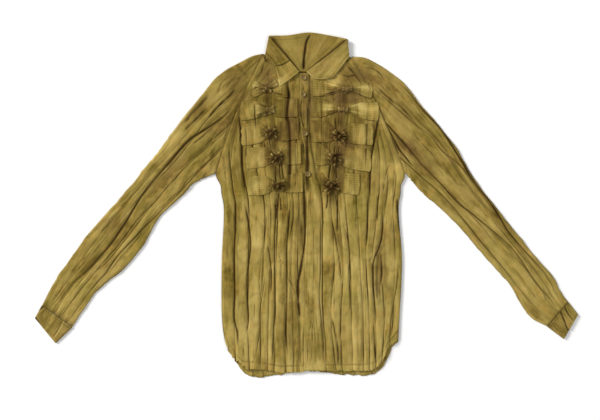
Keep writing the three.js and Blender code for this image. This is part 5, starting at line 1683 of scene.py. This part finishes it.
bands = {}
for side, rows in BANDS.items():
    for k, band in enumerate(rows, 1):
        name = f"band_{side}_{k}"
        sheet = band_sheet(side, band, 800 + 10 * k + (5 if side == "right" else 0))
        mesh = lay(name, sheet)
        piece = place_piece(name, mesh, BAND, BAND_WALL)
        declare_sheet(piece, sheet)
        bands[name] = surface_of(mesh)

# %% [markdown]
# ## The knots
#
# Each band is tied round with a narrow strip of the same cloth whose loops and ends stand out as a small
# crumpled bow. A loop is a ribbon that runs out low and comes back on top. An end runs out once and is
# cut to a point. A short wrap crosses the middle and hides where they meet. No two bows are alike, so
# each has its own list of loops and ends: direction in degrees, length and width in millimetres.

# %% Knots
Knot = namedtuple("Knot", "height wrap loops ends")
KNOTS = {
    "left": [
        Knot(4.2, (95, 8, 7), [(30, 26, 11), (160, 26, 11)], [(222, 10, 6), (-24, 14, 6)]),
        Knot(5.6, (88, 9, 6), [(4, 15, 17), (180, 22, 22)], [(-38, 12, 7), (222, 15, 8)]),
        Knot(6.0, (52, 11, 7), [(128, 14, 12), (-48, 14, 13), (62, 14, 11)], [(206, 13, 8), (14, 12, 7)]),
        Knot(6.0, (70, 10, 7), [(42, 15, 12), (158, 13, 12), (250, 12, 11)], [(-12, 14, 8), (-52, 13, 8)]),
        Knot(6.2, (78, 11, 7), [(38, 19, 13), (152, 15, 12)], [(-24, 14, 8), (212, 14, 8), (100, 10, 7)]),
    ],
    "right": [
        Knot(3.2, (92, 10, 11), [(10, 10, 9), (172, 10, 9)], [(52, 9, 6), (232, 9, 6)]),
        Knot(3.2, (88, 10, 12), [(-8, 10, 9), (186, 10, 10)], [(140, 9, 6), (-60, 9, 6)]),
        Knot(6.0, (64, 10, 7), [(134, 17, 9), (-34, 13, 12), (36, 14, 11)], [(206, 13, 8), (-84, 14, 8)]),
        Knot(6.0, (100, 10, 7), [(132, 17, 10), (6, 13, 12), (-122, 14, 12)], [(-48, 14, 8), (196, 12, 7)]),
        Knot(6.4, (92, 11, 7), [(228, 17, 13), (-40, 17, 13), (146, 12, 10)], [(58, 12, 7), (96, 12, 7)]),
    ],
}
KNOT_WALL = 0.8
SOFT_BELOW = 0.5  # bows whose shade is fainter than this are of the lighter cloth


def lobe(knot, spec, centre, surfaces, seed, closed_loop, shade):
    """A loop or an end of a bow as a sheet. It drapes over what lies below it."""
    angle, length, wide = spec
    s, v = grid(0, 1, -1, 1, *((30, 15) if closed_loop else (20, 11)))
    if closed_loop:
        out = np.sin(np.pi * np.clip(s, 0.03, 0.97))
        r = length * out ** 0.8
        half = wide / 2 * (0.34 + 0.66 * out ** 0.7)
        over = knot.height * (0.1 + 0.75 * (1 - np.cos(np.pi * s)) / 2)
        over = over * (1 - 0.35 * out * s) + 0.9 * out * (1 - v * v) * (s > 0.5)
    else:
        r = length * s
        half = wide / 2 * (0.45 + 0.55 * np.sin(np.pi / 2 * np.clip(1.7 * s, 0, 1)))
        half = half * (1 - 0.75 * soft_step((s - 0.78) / 0.22))
        over = 0.5 + knot.height * 0.55 * np.exp(-3.2 * s)
    twist = 0.22 * np.sin(seed * 2.3 + 2.5 * s)
    near = 1 - np.clip(r / length, 0, 1)
    pleat = np.cos(2 * np.pi * 1.9 * v + seed) * (0.4 + 0.6 * near)
    a = np.radians(angle) + twist * (s if not closed_loop else out * 0.5)
    across = half * v * (1 + 0.06 * np.sin(5 * s + seed)) + 0.5 * np.sin(7 * s + seed)
    x = centre[0] + r * np.cos(a) - across * np.sin(a)
    y = centre[1] + r * np.sin(a) + across * np.cos(a)
    sheet = new_sheet(x, y)
    sheet["across"], sheet["length"] = half * (v + 1), 2 * length * s
    rest = spread(ground(x, y, surfaces), 3)
    sheet["z"] = rest + 0.7 + over + 0.4 * pleat + 0.25 * np.sin(4 * x + 2 * y)
    dye_and_paint_light(sheet, seed)
    # painted light: a painted highlight along the rims, stronger on the side taken as lit, and painted
    # shade towards the knot, in the pleats' hollows and under the loop's lower layer
    rim = np.clip(r / length, 0, 1) ** 2
    inner = near ** 1.3
    lit = np.where(v * math.sin(9.1 * seed) > 0, 1.0, 0.35) * (0.45 + 0.55 * abs(math.sin(3.7 * seed)))
    bright = np.clip(1.9 * lit * rim * np.abs(v) ** 1.5, 0, 1)
    gathered = 0.42 + 1.1 * inner + 0.9 * np.clip(-pleat - 0.1, 0, 1) - 0.95 * bright
    sheet["fold"] = shade * np.clip(gathered, 0, 0.97)
    if closed_loop:
        darken(sheet, 0.85 * shade * (s < 0.42))
    sheet["light"] = np.clip(sheet["light"], -0.1, 1) + 1.3 * bright + 0.2 * rim - 0.2 * inner
    return sheet


def wrap_sheet(knot, centre, surfaces, seed, shade):
    """The turn of the strip that holds the middle: an arch across it with rolled edges."""
    angle, length, wide = knot.wrap
    s, v = grid(0, np.pi, -1, 1, 22, 11)
    a = np.radians(angle)
    lengthwise = -length / 2 * np.cos(s)
    sideways = wide / 2 * v * (0.72 + 0.28 * np.abs(np.cos(s))) + 0.6 * np.sin(3 * s + seed)
    x = centre[0] + lengthwise * np.cos(a) - sideways * np.sin(a)
    y = centre[1] + lengthwise * np.sin(a) + sideways * np.cos(a)
    sheet = new_sheet(x, y)
    sheet["across"], sheet["length"] = wide / 2 * (v + 1), length / 2 * s
    rest = spread(ground(x, y, surfaces), 4)
    arch = (knot.height + 0.6) * np.sin(s) ** 0.7
    ribs = 0.35 * np.cos(2 * np.pi * 1.5 * v + seed)
    sheet["z"] = rest + 0.5 + arch * (1 - 0.3 * v ** 4) + ribs
    dye_and_paint_light(sheet, seed)
    # painted shade in the wrap's hollows and towards its edges and ends
    gathered = 0.62 + 0.5 * np.abs(v) ** 3 - 1.7 * ribs + 0.5 * np.cos(s) ** 4
    sheet["fold"] = shade * np.clip(gathered, 0, 0.97)
    sheet["light"] = np.clip(sheet["light"], -0.1, 1)
    return sheet


def joined(name, meshes, material):
    """One object of several meshes."""
    parts = []
    for mesh in meshes:
        mesh.materials.append(material)
        parts.append(in_scene(name, mesh))
    with bpy.context.temp_override(active_object=parts[0], object=parts[0], selected_editable_objects=parts,
                                   selected_objects=parts):
        bpy.ops.object.join()
    mesh = parts[0].data
    bpy.data.objects.remove(parts[0])
    mesh.materials.clear()
    return mesh


for side, knots in KNOTS.items():
    for k, knot in enumerate(knots, 1):
        name, band_name = f"knot_{side}_{k}", f"band_{side}_{k}"
        centre, shade = BANDS[side][k - 1].knot, BANDS[side][k - 1].shade
        surfaces = [bands[band_name], fronts[side]]
        seed = 900 + 7 * k + (50 if side == "right" else 0)
        sheets = [
            lobe(knot, spec, centre, surfaces, first + n, looped, shade)
            for looped, first, specs in ((False, seed, knot.ends), (True, seed + 9, knot.loops))
            for n, spec in enumerate(specs)
        ]
        sheets.append(wrap_sheet(knot, centre, surfaces, seed, shade))
        finish = SOFT_KNOT if shade < SOFT_BELOW else KNOT
        mesh = joined(name, [lay(f"{name} part", sheet) for sheet in sheets], finish)
        piece = place_piece(name, mesh, finish, KNOT_WALL, 0)

# %% [markdown]
# ## The buttons
#
# Four rimmed buttons show on the strip. Each is a pressed plastic disc with a raised, rounded rim and
# four holes in its sunken floor, sewn on with a cross of thread. The rim is a profile spun round the
# button's axis. The floor is filled between the circle of the rim and the four circles of the holes.

# %% Buttons
BUTTON_FLOOR = 1.6
HOLE_RADIUS = 0.6
HOLE_PLACE = 1.15
HOLE_DEPTH = 0.9
BUTTON_SIDES = 40
PROFILE = [  # radius and height from the floor's rim, over the raised rim and down to the underside
    (3.9, BUTTON_FLOOR), (4.3, 1.95), (4.75, 2.5), (5.15, 2.6), (5.5, 2.35),
    (5.7, 1.7), (5.6, 1.0), (4.9, 0.3), (0.0, 0.3),
]
THREAD_BAR = (1.9, 0.34, 0.3)  # half of one bar of the cross each way


def two_tone(name, scale, detail, first, second):
    """A material of two colours mixed in small clouds."""
    material, tree, shader = new_material(name)
    clouds = noise(tree, add(tree, "TexCoord").outputs["Object"], scale, detail)["Fac"]
    tree.links.new(blended(tree, clouds, first, second), shader.inputs["Base Color"])
    return material, shader


button_colours = (0.26, 0.180, 0.050, 1), (0.15, 0.095, 0.027, 1)
button_plastic, shader = two_tone("button_plastic", 320, 4, *button_colours)
shader.inputs["Roughness"].default_value = 0.42
shader.inputs["Specular IOR Level"].default_value = 0.3
thread_colours = (0.17, 0.125, 0.035, 1), (0.29, 0.22, 0.07, 1)
thread, shader = two_tone("sewing_thread", 2500, 2, *thread_colours)
shader.inputs["Roughness"].default_value = 0.75


def ring_edges(bm, radius, centre, height, segments):
    """The edges of a new circle."""
    circle = bmesh.ops.create_circle(bm, radius=radius * MM, segments=segments,
                                     matrix=Matrix.Translation(Vector((*centre, height)) * MM))
    return list(dict.fromkeys(edge for vert in circle["verts"] for edge in vert.link_edges))


def button_mesh(name, x, y, base):
    """A button whose underside is at height base: a floor with four holes, and a spun rim."""
    bm = bmesh.new()
    centres = [(a * HOLE_PLACE, b * HOLE_PLACE) for a in (-1, 1) for b in (-1, 1)]
    holes = [ring_edges(bm, HOLE_RADIUS, centre, BUTTON_FLOOR, 12) for centre in centres]
    rim = ring_edges(bm, PROFILE[0][0], (0, 0), BUTTON_FLOOR, BUTTON_SIDES)
    bmesh.ops.triangle_fill(bm, use_beauty=True, edges=rim + [edge for hole in holes for edge in hole])
    for hole in holes:
        sunk = bmesh.ops.extrude_edge_only(bm, edges=hole)["geom"]
        verts = [item for item in sunk if isinstance(item, bmesh.types.BMVert)]
        rim_below = [item for item in sunk if isinstance(item, bmesh.types.BMEdge)]
        bmesh.ops.translate(bm, verts=verts, vec=(0, 0, -HOLE_DEPTH * MM))
        bmesh.ops.contextual_create(bm, geom=rim_below)
    points = [bm.verts.new((r * MM, 0, z * MM)) for r, z in PROFILE]
    edges = [bm.edges.new(pair) for pair in zip(points, points[1:])]
    bmesh.ops.spin(
        bm, geom=points + edges, cent=(0, 0, 0), axis=(0, 0, 1), angle=2 * np.pi, steps=BUTTON_SIDES
    )
    bmesh.ops.remove_doubles(bm, verts=bm.verts, dist=2e-5)
    bmesh.ops.recalc_face_normals(bm, faces=bm.faces)
    bmesh.ops.translate(bm, verts=bm.verts, vec=Vector((x, y, base)) * MM)
    return finished(name, bm)


def of_solid(name):
    """The surface of a solid of the part, for thread and buttons to lie on."""
    return surface_of(bpy.data.objects[name].data)


def thread_grain(bm, x, y, height, angle, halves, detail):
    """A long round grain of thread, whose three half sizes are given, turned and laid at a height."""
    place = Matrix.Translation(Vector((x + SHIFT[0], y + SHIFT[1], height)) * MM)
    place = place @ Matrix.Rotation(angle, 4, "Z") @ Matrix.Diagonal((*[half * MM for half in halves], 1))
    bmesh.ops.create_icosphere(bm, subdivisions=detail, radius=1, matrix=place)


def sewing(name, mesh):
    """Puts thread on the garment."""
    piece = in_scene(name, mesh)
    mesh.materials.append(thread)
    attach(piece, "root")
    triangles[name] = len(mesh.polygons)


strip_solid = of_solid("placket")
for k, (x, y) in enumerate(BUTTONS, 1):
    around = np.linspace(0, 2 * np.pi, 24)[None, :]
    base = ground(x + 5 * np.cos(around), y + 5 * np.sin(around), [strip_solid]).max() + 0.1
    mesh = button_mesh(f"button_{k}", x + SHIFT[0], y + SHIFT[1], base)
    place_piece(f"button_{k}", mesh, button_plastic, 0)
    for polygon in mesh.polygons:
        polygon.use_smooth = True
    bm = bmesh.new()
    for turn in (45, -45):
        thread_grain(bm, x, y, base + BUTTON_FLOOR + 0.25, np.radians(turn), THREAD_BAR, 2)
    sewing(f"thread_{k}", finished(f"thread_{k}", bm))

# %% [markdown]
# ## Topstitching
#
# Thread lies on top of the cloth in short dashes with small gaps, along the hem, both edges of the front
# strip, the free edges of the collar and both ends of each cuff. Each stitch is a small rounded grain
# laid on the cloth it holds, turned along its row. One grain has few faces, because there are hundreds.

# %% Rows of stitches
STITCH_SIZE = (1.2, 0.2, 0.13)  # half of a stitch each way
STITCH_STEP = 3.1


def stitch_row(bm, xs, ys, surfaces):
    """Lays stitches along a line, each on the highest of the surfaces below it."""
    xs, ys = np.ravel(xs), np.ravel(ys)
    run = np.concatenate([[0], np.cumsum(np.hypot(np.diff(xs), np.diff(ys)))])
    at = np.arange(STITCH_STEP, run[-1] - STITCH_STEP, STITCH_STEP)
    x, y = np.interp(at, run, xs), np.interp(at, run, ys)
    ahead_x, ahead_y = np.interp(at + 0.5, run, xs) - x, np.interp(at + 0.5, run, ys) - y
    heights = ground(x, y, surfaces, -1)
    for k in range(len(at)):
        if heights[k] >= 0:
            angle = float(np.arctan2(ahead_y[k], ahead_x[k]))
            thread_grain(bm, x[k], y[k], heights[k] + 0.04, angle, STITCH_SIZE, 1)


def stitches(name, rows):
    """All the rows of stitches of one sort as a piece."""
    bm = bmesh.new()
    for xs, ys, surfaces in rows:
        stitch_row(bm, xs, ys, surfaces)
    mesh = finished(name, bm)
    mesh.polygons.foreach_set("use_smooth", np.ones(len(mesh.polygons), bool))
    sewing(name, mesh)
    print(name, len(mesh.polygons), "triangles")


hem_x = np.linspace(-172, 194, 200)
hem_y = height_at(FRONT_HEM, hem_x) + HEM_DEPTH
stitches("stitches_body", [(hem_x, hem_y, list(fronts.values()))])
stitches("stitches_strip", [
    (strip["x"][:, edge] + inset, strip["y"][:, edge], [strip_solid])
    for inset, edge in ((STITCH_INSET, 0), (-STITCH_INSET, -1))
])
share = np.linspace(0.03, 0.97, 60)
rows = []
for side in ("left", "right"):
    surface = of_solid(f"collar_fall_{side}")
    neck = [ROLL[side][-1], OUTER[side][-1]]
    edge = patch(ROLL[side], OUTER[side], LEAD[side], neck, 0.88 + 0 * share, mix(0.09, 0.98, share))
    front = patch(ROLL[side], OUTER[side], LEAD[side], neck, mix(0.1, 0.88, share), 0.09 + 0 * share)
    rows += [(*edge, [surface]), (*front, [surface])]
stitches("stitches_collar", rows)
rows = []
for side, (rings, _, _) in SLEEVES.items():
    ring, end = rings[-1], CUFF_ENDS[side]
    surface = of_solid(f"cuff_{side}")
    for f in (0.15, 0.87):
        start, stop = [mix(np.array(ring[k]), np.array(end[k]), f) for k in (0, 1)]
        rows.append((*[mix(start[k], stop[k], share) for k in (0, 1)], [surface]))
stitches("stitches_cuffs", rows)

# %% Finish
print("triangles added:", sum(triangles.values()))
low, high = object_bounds()
